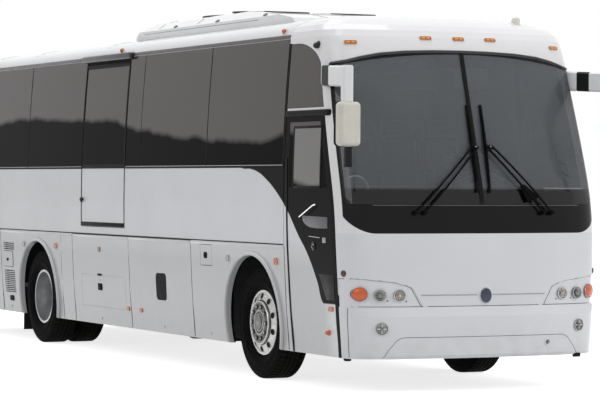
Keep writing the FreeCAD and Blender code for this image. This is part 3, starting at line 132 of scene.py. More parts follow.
def finishPiece(obj, name, material, body="coach", smooth=35):
    # a list of parts becomes one piece
    if isinstance(obj, list):
        obj = joinPieces(obj)
    obj.name = name
    obj.data.name = name
    applyAll(obj)
    obj.data.materials.clear()
    obj.data.materials.append(material)
    pickOnly(obj)
    bpy.ops.object.shade_smooth_by_angle(angle=math.radians(smooth))
    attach(obj, body)
    return obj


def joinPieces(parts):
    deselectAll()
    for part in parts:
        part.select_set(True)
    bpy.context.view_layer.objects.active = parts[0]
    bpy.ops.object.join()
    return parts[0]


def copyOf(obj):
    pickOnly(obj)
    bpy.ops.object.duplicate()
    return bpy.context.object


def mirrorCopy(obj, name, body="coach"):
    twin = copyOf(obj)
    twin.name = name
    twin.data.name = name
    twin.parent = None
    twin.scale.y = -1
    applyAll(twin)
    outwards(twin)
    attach(twin, body)
    return twin


def cubeAt(low, high, edge=0.0, segments=2):
    deselectAll()
    low, high = Vector(low), Vector(high)
    bpy.ops.mesh.primitive_cube_add(size=1, location=(low + high) / 2)
    obj = bpy.context.object
    obj.scale = high - low
    bpy.ops.object.transform_apply(location=False, rotation=False, scale=True)
    if edge:
        softEdges(obj, edge, segments)
        applyAll(obj)
    return obj


def roundPlate(width, height, depth, corner, edge=0.0):
    # a rounded plate that lies on z = 0 with its face up, sunk a little
    obj = cubeAt((-width / 2, -height / 2, -0.004), (width / 2, height / 2, depth))
    pickEdges(obj, lambda a, b: abs(a.z - b.z) > depth / 2)
    bpy.ops.mesh.bevel(offset=corner, segments=6)
    endEdit()
    if edge:
        pickEdges(obj, lambda a, b: min(a.z, b.z) > depth - 1e-5)
        bpy.ops.mesh.bevel(offset=edge, segments=2)
        endEdit()
    return obj


def drawLine(points):
    # a plane collapsed to one point, then pulled out along the line; left in edit mode
    deselectAll()
    points = [Vector(p) for p in points]
    bpy.ops.mesh.primitive_plane_add(size=0.01, location=points[0])
    obj = bpy.context.object
    bpy.ops.object.transform_apply(location=True, rotation=False, scale=False)
    startEdit(obj)
    bpy.ops.mesh.merge(type="CENTER")
    for start, end in zip(points, points[1:]):
        bpy.ops.mesh.extrude_region_move(TRANSFORM_OT_translate={"value": end - start})
    return obj


def ribbon(points, across, thick, edge=0.0):
    # a flat band that follows a line, half sunk into what carries it
    obj = drawLine(points)
    bpy.ops.mesh.select_all(action="SELECT")
    bpy.ops.mesh.extrude_region_move(TRANSFORM_OT_translate={"value": Vector(across)})
    endEdit()
    solid = obj.modifiers.new("thickness", "SOLIDIFY")
    solid.thickness = thick
    solid.offset = 0
    applyAll(obj)
    if edge:
        softEdges(obj, edge, 2, 50)
        applyAll(obj)
    return obj


def flatShape(points, toward, thick, edge=0.0):
    # a closed outline filled and given a thickness along toward
    obj = drawLine(points)
    bpy.ops.mesh.select_all(action="SELECT")
    bpy.ops.mesh.edge_face_add()
    bpy.ops.mesh.extrude_region_move(TRANSFORM_OT_translate={"value": Vector(toward).normalized() * thick})
    bpy.ops.mesh.select_all(action="SELECT")
    bpy.ops.mesh.normals_make_consistent(inside=False)
    endEdit()
    if edge:
        softEdges(obj, edge, 2, 40)
        applyAll(obj)
    return obj


def tube(points, radius, bend=0.0, sides=3):
    # a round bar along a line, its corners turned at the bend
    obj = drawLine(points)
    if bend:
        bpy.ops.mesh.select_all(action="SELECT")
        bpy.ops.mesh.bevel(offset=bend, segments=6, affect="VERTICES")
    endEdit()
    pickOnly(obj)
    bpy.ops.object.convert(target="CURVE")
    curve = bpy.context.object
    curve.data.bevel_depth = radius
    curve.data.bevel_resolution = sides
    curve.data.use_fill_caps = True
    bpy.ops.object.convert(target="MESH")
    return bpy.context.object


def lathe(profile, steps=32):
    # (radius, height) pairs spun about z; the first and last points lie on the axis or the ends stay open
    obj = drawLine([(radius, 0, height) for radius, height in profile])
    bpy.ops.mesh.select_all(action="SELECT")
    bpy.ops.mesh.spin(steps=steps, angle=math.tau, center=(0, 0, 0), axis=(0, 0, 1))
    bpy.ops.mesh.select_all(action="SELECT")
    bpy.ops.mesh.remove_doubles(threshold=1e-5)
    bpy.ops.mesh.normals_make_consistent(inside=False)
    endEdit()
    return obj


def layOn(obj, place, normal, turn=0.0):
    # the piece's own z turned to a surface's normal
    obj.rotation_mode = "QUATERNION"
    obj.rotation_quaternion = Vector(normal).to_track_quat("Z", "Y") @ Quaternion((0, 0, 1), turn)
    obj.location = place
    applyAll(obj)
    return obj


def hitOn(names, start, direction):
    best = None
    for name in names:
        found, place, normal, _ = nodes[name].ray_cast(Vector(start), Vector(direction))
        if found:
            away = (place - Vector(start)).length
            if best is None or away < best[0]:
                best = (away, place, normal)
    return best[1:] if best else (None, None)


def onFront(y, z, *names):
    names = names or ("front_panel", "front_bumper", "front_cap", "windscreen_frame", "windscreen")
    return hitOn(names, (6.0, y, z), (-1, 0, 0))


# half width of the body at each height, from the body's section
sideWidths = [(0.300, 1.212), (0.600, 1.236), (0.840, 1.251), (1.242, 1.269), (1.620, 1.273), (1.935, 1.269),
              (2.270, 1.257), (2.620, 1.236), (2.860, 1.217), (3.000, 1.205), (3.083, 1.197), (3.140, 1.182)]


def widthAt(z):
    for (lowZ, lowY), (highZ, highY) in zip(sideWidths, sideWidths[1:]):
        if z <= highZ:
            return lowY + (highY - lowY) * (z - lowZ) / (highZ - lowZ)
    return sideWidths[-1][1]


def sideSpot(back, z, proud=0.0):
    # a place on the right-hand side, with the side's normal there
    slope = (widthAt(z + 0.02) - widthAt(z - 0.02)) / 0.04
    normal = Vector((0, -1, -slope)).normalized()
    return Vector((noseX - back, -widthAt(z), z)) + normal * proud, normal


def onSide(obj, back, z, turn=0.0):
    place, normal = sideSpot(back, z)
    return layOn(obj, place, normal, turn)


def upright(back, lowZ, highZ, proud=0.0):
    # points up the right-hand side at one distance behind the nose
    heights = [lowZ] + [z for z, _ in sideWidths if lowZ < z < highZ] + [highZ]
    return [sideSpot(back, z, proud)[0] for z in heights]


def newMaterial(name):
    material = bpy.data.materials.new(name)
    material.use_nodes = True
    tree = material.node_tree
    return material, tree, tree.nodes["Principled BSDF"]


def addNode(tree, kind, **values):
    node = tree.nodes.new(kind)
    for key, value in values.items():
        setattr(node, key, value)
    return node


def noiseOn(tree, scale, detail=4, stretch=None, roughness=0.5):
    coords = addNode(tree, "ShaderNodeTexCoord")
    noise = addNode(tree, "ShaderNodeTexNoise")
    noise.inputs["Scale"].default_value = scale
    noise.inputs["Detail"].default_value = detail
    noise.inputs["Roughness"].default_value = roughness
    source = coords.outputs["Object"]
    if stretch:
        mapping = addNode(tree, "ShaderNodeMapping")
        mapping.inputs["Scale"].default_value = stretch
        tree.links.new(source, mapping.inputs["Vector"])
        source = mapping.outputs["Vector"]
    tree.links.new(source, noise.inputs["Vector"])
    return noise.outputs["Fac"]


def placeOn(tree):
    coords = addNode(tree, "ShaderNodeTexCoord")
    split = addNode(tree, "ShaderNodeSeparateXYZ")
    tree.links.new(coords.outputs["Object"], split.inputs["Vector"])
    return split.outputs


def rampOf(tree, source, stops):
    ramp = addNode(tree, "ShaderNodeValToRGB")
    elements = ramp.color_ramp.elements
    while len(elements) < len(stops):
        elements.new(0.5)
    for element, (place, color) in zip(elements, stops):
        element.position = place
        element.color = (*color, 1) if len(color) == 3 else color
    tree.links.new(source, ramp.inputs["Fac"])
    return ramp.outputs["Color"]


def rangeOf(tree, source, fromLow, fromHigh, low, high):
    node = addNode(tree, "ShaderNodeMapRange")
    for key, value in (("From Min", fromLow), ("From Max", fromHigh), ("To Min", low), ("To Max", high)):
        node.inputs[key].default_value = value
    tree.links.new(source, node.inputs["Value"])
    return node.outputs["Result"]


def mathOf(tree, operation, first, second):
    node = addNode(tree, "ShaderNodeMath", operation=operation)
    for i, value in enumerate((first, second)):
        if isinstance(value, (int, float)):
            node.inputs[i].default_value = value
        else:
            tree.links.new(value, node.inputs[i])
    return node.outputs["Value"]


def within(tree, source, low, high, edge=0.002):
    # 1 between two values, 0 outside
    return mathOf(tree, "MULTIPLY", rangeOf(tree, source, low - edge, low, 0, 1),
                  rangeOf(tree, source, high, high + edge, 1, 0))


def blendColors(tree, factor, first, second):
    node = addNode(tree, "ShaderNodeMix", data_type="RGBA")
    tree.links.new(factor, node.inputs["Factor"])
    for key, value in ((6, first), (7, second)):
        if isinstance(value, tuple):
            node.inputs[key].default_value = (*value, 1)
        else:
            tree.links.new(value, node.inputs[key])
    return node.outputs[2]


def bumpOn(tree, shader, source, strength, distance):
    bump = addNode(tree, "ShaderNodeBump")
    bump.inputs["Strength"].default_value = strength
    bump.inputs["Distance"].default_value = distance
    tree.links.new(source, bump.inputs["Height"])
    tree.links.new(bump.outputs["Normal"], shader.inputs["Normal"])
    return bump


def curveOf(tree, source, points, lowIn, highIn, lowOut, highOut):
    share = rangeOf(tree, source, lowIn, highIn, 0, 1)
    curve = addNode(tree, "ShaderNodeFloatCurve")
    line = curve.mapping.curves[0]
    places = [((x - lowIn) / (highIn - lowIn), (z - lowOut) / (highOut - lowOut)) for x, z in points]
    line.points[0].location = places[0]
    line.points[1].location = places[-1]
    for place in places[1:-1]:
        line.points.new(*place)
    curve.mapping.update()
    tree.links.new(share, curve.inputs["Value"])
    return rangeOf(tree, curve.outputs["Value"], 0, 1, lowOut, highOut)


paint = {
    # the lower panel keys paint shade on the lower side panels
    "lowPanelShadeShare": 0.5, "lowPanelShade": (0.45, 0.455, 0.46), "lowPanelShadeTop": (1.05, 1.30), "lowPanelShadeFront": (4.70, 4.85),
    "white": (0.79, 0.80, 0.83), "shade": (0.755, 0.767, 0.797), "dust": (0.50, 0.48, 0.44),
    "rough": (0.16, 0.26), "coat": 0.6, "peel": 0.03, "dustTop": 0.62, "dustBottom": 0.30, "dustShare": 0.28,
    "black": (0.003, 0.003, 0.0035),
    # lower edge of the black sweep, distance along x and height
    "sweep": [(2.90, 1.96), (3.03, 1.929), (3.187, 1.925), (3.378, 1.892), (3.529, 1.837), (3.692, 1.761),
              (3.853, 1.663), (4.002, 1.553), (4.233, 1.334), (4.392, 1.196), (4.594, 0.931),
              (4.688, 0.760), (4.72, 0.757)],
    "sweepFront": 4.985, "stripRear": 4.925, "sweepTop": 3.04, "postFront": 3.945, "postLow": 1.60,
    "postTop": 3.04,
}


def paintColor(tree, white, shade):
    base = rampOf(tree, noiseOn(tree, 1.4, 5), [(0.35, shade), (0.65, white)])
    place = placeOn(tree)
    low = rangeOf(tree, place["Z"], paint["dustTop"], paint["dustBottom"], 0, paint["dustShare"])
    grain = rangeOf(tree, noiseOn(tree, 9, 6), 0.35, 0.75, 0, 1)
    dusty = mathOf(tree, "MULTIPLY", low, grain)
    # painted shade: the lower side panels are a little greyer than the rest, standing in for the shade they
    # sit in under light from above
    panel = mathOf(tree, "MULTIPLY", rangeOf(tree, place["Z"], *paint["lowPanelShadeTop"], paint["lowPanelShadeShare"], 0),
                   rangeOf(tree, place["X"], *paint["lowPanelShadeFront"], 1, 0))
    body = blendColors(tree, panel, base, paint["lowPanelShade"])
    return blendColors(tree, dusty, body, paint["dust"]), place


def paintFinish(tree, shader, mask=None):
    rough = rangeOf(tree, noiseOn(tree, 3.5, 4), 0.3, 0.7, *paint["rough"])
    tree.links.new(rough, shader.inputs["Roughness"])
    shader.inputs["Specular IOR Level"].default_value = 0.02
    shader.inputs["Coat Roughness"].default_value = 0.06
    if mask is None:
        shader.inputs["Coat Weight"].default_value = paint["coat"]
    else:
        tree.links.new(rangeOf(tree, mask, 0, 1, paint["coat"], 0.02), shader.inputs["Coat Weight"])
    bumpOn(tree, shader, noiseOn(tree, 240, 2), paint["peel"], 0.002)


def whitePaint(name, white=paint["white"], shade=paint["shade"]):
    material, tree, shader = newMaterial(name)
    color, _ = paintColor(tree, white, shade)
    tree.links.new(color, shader.inputs["Base Color"])
    paintFinish(tree, shader)
    return material


def sweepPaint(name):
    # white below the curved edge, gloss black ahead of it and above
    material, tree, shader = newMaterial(name)
    color, place = paintColor(tree, paint["white"], paint["shade"])
    edge = curveOf(tree, place["X"], paint["sweep"], 2.90, 4.72, 0.757, 1.96)
    over = rangeOf(tree, mathOf(tree, "SUBTRACT", place["Z"], edge), -0.004, 0.004, 0, 1)
    inside = within(tree, place["X"], 2.905, paint["sweepFront"])
    top = rangeOf(tree, place["Z"], paint["sweepTop"], paint["sweepTop"] + 0.004, 1, 0)
    mask = mathOf(tree, "MULTIPLY", mathOf(tree, "MULTIPLY", over, inside), top)
    strip = within(tree, place["X"], paint["stripRear"], paint["sweepFront"])
    mask = mathOf(tree, "MAXIMUM", mask, mathOf(tree, "MULTIPLY", strip, top))
    # the inside of the lower skins, well behind the outer face, is black
    depth = rangeOf(tree, place["Z"], 0.30, 1.25, 1.184, 1.240)
    inner = mathOf(tree, "MULTIPLY", mathOf(tree, "LESS_THAN", mathOf(tree, "ABSOLUTE", place["Y"], 0),
                                            depth),
                   rangeOf(tree, place["Z"], 1.26, 1.27, 1, 0))
    mask = mathOf(tree, "MAXIMUM", mask, inner)
    tree.links.new(blendColors(tree, mask, color, paint["black"]), shader.inputs["Base Color"])
    paintFinish(tree, shader, mask)
    return material


def capPaint(name):
    # white front cap with the black posts behind the door and the driver's window
    material, tree, shader = newMaterial(name)
    color, place = paintColor(tree, (0.86, 0.86, 0.875), (0.82, 0.82, 0.835))
    behind = rangeOf(tree, place["X"], paint["postFront"], paint["postFront"] + 0.003, 1, 0)
    mask = mathOf(tree, "MULTIPLY", behind, within(tree, place["Z"], paint["postLow"], paint["postTop"]))
    tree.links.new(blendColors(tree, mask, color, paint["black"]), shader.inputs["Base Color"])
    paintFinish(tree, shader, mask)
    return material


def liftPaint(name):
    # white leaf with its upper part black round the pane
    material, tree, shader = newMaterial(name)
    color, place = paintColor(tree, paint["white"], paint["shade"])
    mask = rangeOf(tree, place["Z"], 1.945, 1.948, 0, 1)
    tree.links.new(blendColors(tree, mask, color, paint["black"]), shader.inputs["Base Color"])
    paintFinish(tree, shader, mask)
    return material


def plainMaterial(name, color, rough, metallic=0.0, vary=0.25, scale=30, bump=0.1, depth=0.001, **sockets):
    material, tree, shader = newMaterial(name)
    dark = tuple(c * (1 - vary) for c in color)
    ramp = rampOf(tree, noiseOn(tree, scale, 5), [(0.3, dark), (0.7, color)])
    tree.links.new(ramp, shader.inputs["Base Color"])
    roughness = rangeOf(tree, noiseOn(tree, scale * 0.6, 4), 0.3, 0.7, rough * 0.85,
                        min(1, rough * 1.2))
    tree.links.new(roughness, shader.inputs["Roughness"])
    shader.inputs["Metallic"].default_value = metallic
    for key, value in sockets.items():
        shader.inputs[key.replace("_", " ")].default_value = value
    if bump:
        bumpOn(tree, shader, noiseOn(tree, scale * 8, 3), bump, depth)
    return material


# painted reflection: high is a painted sky reflection on the upper glass; below the edge the colour is the
# near-black tint and the coat is turned down to stand in for dark reflections
sideTintAndReflection = {"high": (0.072, 0.060, 0.057), "low": (0.0035, 0.0035, 0.004), "reflectionEdgeZ": 2.47, "wander": 0.13,
            "fallRear": -1.0, "fallFront": 2.5, "fall": 0.26,
            "coatHigh": 0.55, "coatLow": 0.01, "rough": 0.05, "specular": 0.01, "blur": 0.03}


def glassTintAndPaintedReflection(name, high=sideTintAndReflection["high"], reflectionEdgeZ=sideTintAndReflection["reflectionEdgeZ"]):
    # dark tinted panes with a painted reflection: a warm grey painted sky reflection above, near black and
    # less shiny below a wandering line
    material, tree, shader = newMaterial(name)
    place = placeOn(tree)
    wave = rangeOf(tree, noiseOn(tree, 0.9, 6, (1, 1, 0.25)), 0.3, 0.7, -sideTintAndReflection["wander"] / 2,
                   sideTintAndReflection["wander"] / 2)
    fall = rangeOf(tree, place["X"], sideTintAndReflection["fallRear"], sideTintAndReflection["fallFront"], 0, sideTintAndReflection["fall"])
    height = mathOf(tree, "ADD", mathOf(tree, "ADD", place["Z"], wave), fall)
    share = rangeOf(tree, height, reflectionEdgeZ - sideTintAndReflection["blur"], reflectionEdgeZ + sideTintAndReflection["blur"], 0, 1)
    reflectionTone = rampOf(tree, noiseOn(tree, 0.5, 4, (0.4, 1, 1)),
                  [(0.3, tuple(c * 0.82 for c in high)), (0.7, high)])
    tree.links.new(blendColors(tree, share, sideTintAndReflection["low"], reflectionTone), shader.inputs["Base Color"])
    tree.links.new(rangeOf(tree, share, 0, 1, sideTintAndReflection["coatLow"], sideTintAndReflection["coatHigh"]),
                   shader.inputs["Coat Weight"])
    tree.links.new(rangeOf(tree, noiseOn(tree, 6, 3), 0.3, 0.7, sideTintAndReflection["rough"],
                           sideTintAndReflection["rough"] + 0.03), shader.inputs["Roughness"])
    shader.inputs["Specular IOR Level"].default_value = sideTintAndReflection["specular"]
    return material


def clearGlass(name, color, rough=0.0, ior=1.45):
    material, tree, shader = newMaterial(name)
    ramp = rampOf(tree, noiseOn(tree, 2.5, 5), [(0.4, tuple(c * 0.96 for c in color)), (0.8, color)])
    tree.links.new(ramp, shader.inputs["Base Color"])
    tree.links.new(rangeOf(tree, noiseOn(tree, 6, 3), 0.3, 0.7, rough, rough + 0.01),
                   shader.inputs["Roughness"])
    shader.inputs["Transmission Weight"].default_value = 1.0
    shader.inputs["IOR"].default_value = ior
    return material


def screenGlassPaintedReflection(name):
    # the windscreen: see-through, with a painted grey sky reflection that grows lighter upwards, and darker
    # over the shelf as a painted reflection of the dark ground
    material, tree, shader = newMaterial(name)
    place = placeOn(tree)
    wave = rangeOf(tree, noiseOn(tree, 1.3, 4, (1, 1, 0.6)), 0.3, 0.7, 0.82, 1.08)
    high = rangeOf(tree, place["Z"], 1.745, 1.765, 0, 1)
    rise = rangeOf(tree, place["Z"], 1.76, 2.75, 0.80, 1.05)
    share = mathOf(tree, "MULTIPLY", high, mathOf(tree, "MULTIPLY", wave, rise))
    tree.links.new(blendColors(tree, share, (0.004, 0.004, 0.005), (0.205, 0.222, 0.243)),
                   shader.inputs["Base Color"])
    tree.links.new(rangeOf(tree, share, 0, 1, 0.60, 0.36), shader.inputs["Alpha"])
    tree.links.new(rangeOf(tree, noiseOn(tree, 6, 3), 0.3, 0.7, 0.01, 0.03),
                   shader.inputs["Roughness"])
    return material


def wheelMetalPaintedReflection(name, centreX, edge, inner, outer):
    # turned metal with a painted reflection: the hub face inside the edge radius is painted dark for the dark
    # road and arch it reflects, with a bright cone and flange outside the edge radius
    material, tree, shader = newMaterial(name)
    place = placeOn(tree)
    alongX = mathOf(tree, "SUBTRACT", place["X"], centreX)
    aboveZ = mathOf(tree, "SUBTRACT", place["Z"], 0.515)
    radius = mathOf(tree, "SQRT", mathOf(tree, "ADD", mathOf(tree, "MULTIPLY", alongX, alongX),
                                         mathOf(tree, "MULTIPLY", aboveZ, aboveZ)), 0)
    share = rangeOf(tree, radius, edge, edge + 0.001, 0, 1)
    worn = rangeOf(tree, noiseOn(tree, 11, 5), 0.3, 0.7, 0, 1)
    dark = blendColors(tree, worn, tuple(c * 0.45 for c in inner), inner)
    bright = blendColors(tree, worn, tuple(c * 0.78 for c in outer), outer)
    tree.links.new(blendColors(tree, share, dark, bright), shader.inputs["Base Color"])
    tree.links.new(rangeOf(tree, share, 0, 1, 1.0, 0.45), shader.inputs["Metallic"])
    tree.links.new(rangeOf(tree, worn, 0, 1, 0.20, 0.32), shader.inputs["Roughness"])
    rings = mathOf(tree, "SINE", mathOf(tree, "MULTIPLY", radius, 1500), 0)
    bumpOn(tree, shader, rings, 0.06, 0.0005)
    return material


def tyreMaterial(name, centreX):
    # moulded rings and fine ribs on the sidewall, worn grey on the tread
    material, tree, shader = newMaterial(name)
    place = placeOn(tree)
    alongX = mathOf(tree, "SUBTRACT", place["X"], centreX)
    aboveZ = mathOf(tree, "SUBTRACT", place["Z"], 0.515)
    radius = mathOf(tree, "SQRT", mathOf(tree, "ADD", mathOf(tree, "MULTIPLY", alongX, alongX),
                                         mathOf(tree, "MULTIPLY", aboveZ, aboveZ)), 0)
    angle = mathOf(tree, "ARCTAN2", aboveZ, alongX)
    rings = mathOf(tree, "SINE", mathOf(tree, "MULTIPLY", radius, 520), 0)
    ribs = mathOf(tree, "SINE", mathOf(tree, "MULTIPLY", angle, 240), 0)
    shoulder = within(tree, radius, 0.455, 0.495, 0.008)
    side = rangeOf(tree, radius, 0.49, 0.50, 1, 0)
    height = mathOf(tree, "ADD", mathOf(tree, "MULTIPLY", mathOf(tree, "MULTIPLY", rings, side), 0.4),
                    mathOf(tree, "MULTIPLY", mathOf(tree, "MULTIPLY", ribs, shoulder), 0.5))
    dirt = rampOf(tree, noiseOn(tree, 26, 6), [(0.3, (0.004, 0.004, 0.004)), (0.75, (0.009, 0.0087, 0.0085))])
    worn = rangeOf(tree, radius, 0.500, 0.512, 0, 0.5)
    tree.links.new(blendColors(tree, worn, dirt, (0.03, 0.029, 0.027)), shader.inputs["Base Color"])
    shader.inputs["Roughness"].default_value = 0.8
    shader.inputs["Specular IOR Level"].default_value = 0.03
    bumpOn(tree, shader, height, 0.5, 0.002)
    return material


def lampReflector(name, color, scale=140):
    # fluted reflector or lens: fine upright ribs
    material, tree, shader = newMaterial(name)
    place = placeOn(tree)
    flute = mathOf(tree, "SINE", mathOf(tree, "MULTIPLY", place["Y"], scale * 4), 0)
    cross = mathOf(tree, "SINE", mathOf(tree, "MULTIPLY", place["Z"], scale * 3), 0)
    shade = rampOf(tree, noiseOn(tree, 40, 4), [(0.3, tuple(c * 0.75 for c in color)), (0.7, color)])
    tree.links.new(shade, shader.inputs["Base Color"])
    shader.inputs["Metallic"].default_value = 1.0
    shader.inputs["Roughness"].default_value = 0.12
    bumpOn(tree, shader, mathOf(tree, "ADD", flute, cross), 0.35, 0.002)
    return material


def wovenCloth(name, color, fleck):
    material, tree, shader = newMaterial(name)
    warp = noiseOn(tree, 420, 2, (1, 3, 1))
    weft = noiseOn(tree, 420, 2, (3, 1, 1))
    weave = mathOf(tree, "MULTIPLY", warp, weft)
    base = rampOf(tree, weave, [(0.15, tuple(c * 0.6 for c in color)), (0.4, color)])
    spots = rangeOf(tree, noiseOn(tree, 55, 2), 0.62, 0.66, 0, 1)
    tree.links.new(blendColors(tree, spots, base, fleck), shader.inputs["Base Color"])
    shader.inputs["Roughness"].default_value = 0.92
    shader.inputs["Sheen Weight"].default_value = 0.3
    bumpOn(tree, shader, weave, 0.5, 0.002)
    return material


whiteBody = whitePaint("whiteBody")
whiteRoof = whitePaint("whiteRoof", (0.78, 0.79, 0.80), (0.745, 0.755, 0.77))
whiteSweep = sweepPaint("whiteBlackSweep")
whiteCap = capPaint("whiteCapBlackPosts")
whiteLift = liftPaint("whiteLeafBlackTop")
podShell = whitePaint("roofUnitShell", (0.84, 0.845, 0.85), (0.80, 0.805, 0.81))
frontWheelMetal = wheelMetalPaintedReflection("frontWheelPaintedReflection", 3.21, 0.2055, (0.150, 0.142, 0.130), (0.66, 0.65, 0.635))
blackGloss = plainMaterial("blackGlossBand", (0.006, 0.006, 0.007), 0.12, vary=0.1, scale=4, bump=0.02,
                           Specular_IOR_Level=0.16)
blackPlastic = plainMaterial("grainedBlackPlastic", (0.018, 0.018, 0.019), 0.5, scale=60, bump=0.3,
                             Specular_IOR_Level=0.3)
rubberSeal = plainMaterial("blackRubberSeal", (0.009, 0.009, 0.009), 0.65, scale=80, bump=0.2,
                           Specular_IOR_Level=0.12)
cupBlack = plainMaterial("matBlackPull", (0.004, 0.004, 0.0045), 0.6, scale=70, bump=0.2,
                         Specular_IOR_Level=0.08)
gutterGrey = plainMaterial("greyGutterStrip", (0.115, 0.108, 0.115), 0.45, vary=0.1, scale=20, bump=0.05)
violetGloss = plainMaterial("darkEdgeTrim", (0.014, 0.013, 0.018), 0.3, vary=0.2, scale=20, bump=0.05)
sideGlass = glassTintAndPaintedReflection("sideGlassPaintedReflection")
screenGlass = screenGlassPaintedReflection("screenGlassPaintedSkyReflection")
lensGlass = clearGlass("clearLampLens", (0.93, 0.94, 0.95))
mirrorGlass = plainMaterial("mirrorGlass", (0.75, 0.77, 0.78), 0.03, metallic=1.0, vary=0.03, scale=4, bump=0)
frontTyre = tyreMaterial("frontTyreRubber", 3.21)
rearTyre = tyreMaterial("rearTyreRubber", -2.59)
# painted reflection: the polished metal has a dark base for the dark road and arch it reflects
polished = plainMaterial("polishedWheelPaintedDarkReflection", (0.17, 0.165, 0.155), 0.22, metallic=1.0, vary=0.55, scale=9,
                         bump=0.08)
silverSteel = plainMaterial("silverWheelPaint", (0.50, 0.51, 0.52), 0.32, metallic=0.75, vary=0.2, scale=12,
                            bump=0.08)
chrome = plainMaterial("brightChrome", (0.78, 0.79, 0.80), 0.08, metallic=1.0, vary=0.06, scale=20, bump=0.02)
satinMetal = plainMaterial("satinMetal", (0.42, 0.43, 0.44), 0.3, metallic=0.9, vary=0.15, scale=60, bump=0.1)
castIron = plainMaterial("darkCastIron", (0.045, 0.043, 0.04), 0.7, metallic=0.3, scale=22, bump=0.5,
                         depth=0.003)
frameBlack = plainMaterial("underbodyBlack", (0.02, 0.02, 0.021), 0.6, scale=10, bump=0.3)
floorVinyl = plainMaterial("greyFloorVinyl", (0.05, 0.05, 0.053), 0.55, scale=120, bump=0.2)
seatCloth = wovenCloth("darkSeatCloth", (0.030, 0.034, 0.046), (0.055, 0.06, 0.075))
lightPlastic = plainMaterial("lightInteriorPlastic", (0.62, 0.63, 0.64), 0.6, scale=90, bump=0.2)
dashPlastic = plainMaterial("darkDashPlastic", (0.03, 0.03, 0.033), 0.6, scale=120, bump=0.4)
amberLens = plainMaterial("amberLens", (0.70, 0.115, 0.005), 0.2, vary=0.35, scale=70, bump=0.3,
                          Coat_Weight=0.1)
redLens = plainMaterial("redLens", (0.28, 0.006, 0.006), 0.15, vary=0.25, scale=90, bump=0.25,
                        Coat_Weight=0.4)
amberBead = plainMaterial("amberBead", (0.95, 0.42, 0.05), 0.2, vary=0.2, scale=90, bump=0.2)
darkBowl = plainMaterial("darkLampBowl", (0.10, 0.10, 0.105), 0.25, metallic=0.8, vary=0.2, scale=40,
                         bump=0.1)
smokeLens = plainMaterial("greyLampLens", (0.32, 0.32, 0.33), 0.15, vary=0.2, scale=80, bump=0.2,
                          Coat_Weight=0.4)
warmShell = plainMaterial("warmWhiteShell", (0.74, 0.715, 0.645), 0.3, vary=0.05, scale=12, bump=0.05,
                          Coat_Weight=0.2)
grilleDark = plainMaterial("darkMesh", (0.012, 0.012, 0.012), 0.8, scale=90, bump=0.3, Specular_IOR_Level=0.2)
greyPanel = plainMaterial("greyPocketPanel", (0.095, 0.097, 0.102), 0.4, vary=0.1, scale=30, bump=0.05)

nodeLooks = {
    "roof": whiteRoof, "front_cap": whiteCap, "front_panel": whiteBody, "front_bumper": whiteBody,
    "side_panels_right": whiteSweep, "side_panels_left": whiteSweep, "rear_cap": whiteBody,
    "rear_bumper": blackPlastic, "glass_right": sideGlass, "glass_left": sideGlass, "rear_glass": sideGlass,
    "window_frames": rubberSeal, "windscreen": screenGlass, "windscreen_frame": blackGloss,
    "entry_door": whiteSweep, "entry_door_glass": sideGlass, "lift_door": whiteLift,
    "lift_door_glass": sideGlass, "fuel_flap": whiteBody, "engine_door": whiteBody,
    "roof_hatch_front": whiteRoof, "roof_hatch_rear": whiteRoof, "front_lamps": darkBowl,
    "marker_lamps": amberLens, "tail_lamps": redLens, "floor": floorVinyl, "chassis": frameBlack,
    "seats": seatCloth, "parcel_racks": lightPlastic, "dashboard": dashPlastic,
    "steering_wheel": blackPlastic, "roof_unit": podShell, "front_axle": castIron, "rear_axle": castIron,
    "engine": castIron, "knuckle_right": castIron, "knuckle_left": castIron, "mirrors": warmShell,
    "wipers": blackPlastic, "luggage_door_right": whiteBody, "lift_bay_door_right": whiteBody,
    "service_door_right": whiteBody, "luggage_door_left": whiteBody, "rear_luggage_door_left": whiteBody,
    "service_door_left": whiteBody, "front_tyre_right": frontTyre, "front_tyre_left": frontTyre,
    "rear_tyre_right": rearTyre, "rear_tyre_left": rearTyre, "front_rim_right": frontWheelMetal,
    "front_rim_left": frontWheelMetal, "rear_rim_right": silverSteel, "rear_rim_left": silverSteel,
}


def dressNodes():
    for name, obj in nodes.items():
        look = nodeLooks[name]
        if not obj.material_slots:
            obj.data.materials.append(look)
        for slot in obj.material_slots:
            slot.material = look


dressNodes()
print("frame nodes dressed")


# strips, joints and seals along the sides
sideTrim = {
    "jointZ": 1.2425, "jointHeight": 0.011, "jointProud": 0.003, "flangeTop": 1.234, "flangeHeight": 0.024,
    "flangeProud": 0.012, "beltZ": 1.9375, "beltHeight": 0.016, "silverZ": 1.955, "silverHeight": 0.005,
    "gutterZ": 3.086, "gutterHeight": 0.036, "gutterProud": 0.010, "tail": 9.985, "cap": 1.428,
    "rearSeal": (1.409, 1.390), "sealLow": 0.302, "sealTop": 3.03, "sealProud": 0.010,
    "liftRear": 6.510, "liftFront": 5.250, "liftLow": 1.332, "liftTop": 3.032,
}


def levelStrip(rear, front, lowZ, height, thick, edge=0.0):
    low, _ = sideSpot(rear, lowZ)
    high, _ = sideSpot(rear, lowZ + height)
    ahead, _ = sideSpot(front, lowZ)
    return ribbon([low, ahead], high - low, thick, edge)


def uprightStrip(rear, front, lowZ, highZ, thick, edge=0.0):
    return ribbon(upright(rear, lowZ, highZ), (rear - front, 0, 0), thick, edge)


def bothSides(obj, name, material, body="coach"):
    finishPiece(obj, name + "Right", material, body)
    mirrorCopy(obj, name + "Left")


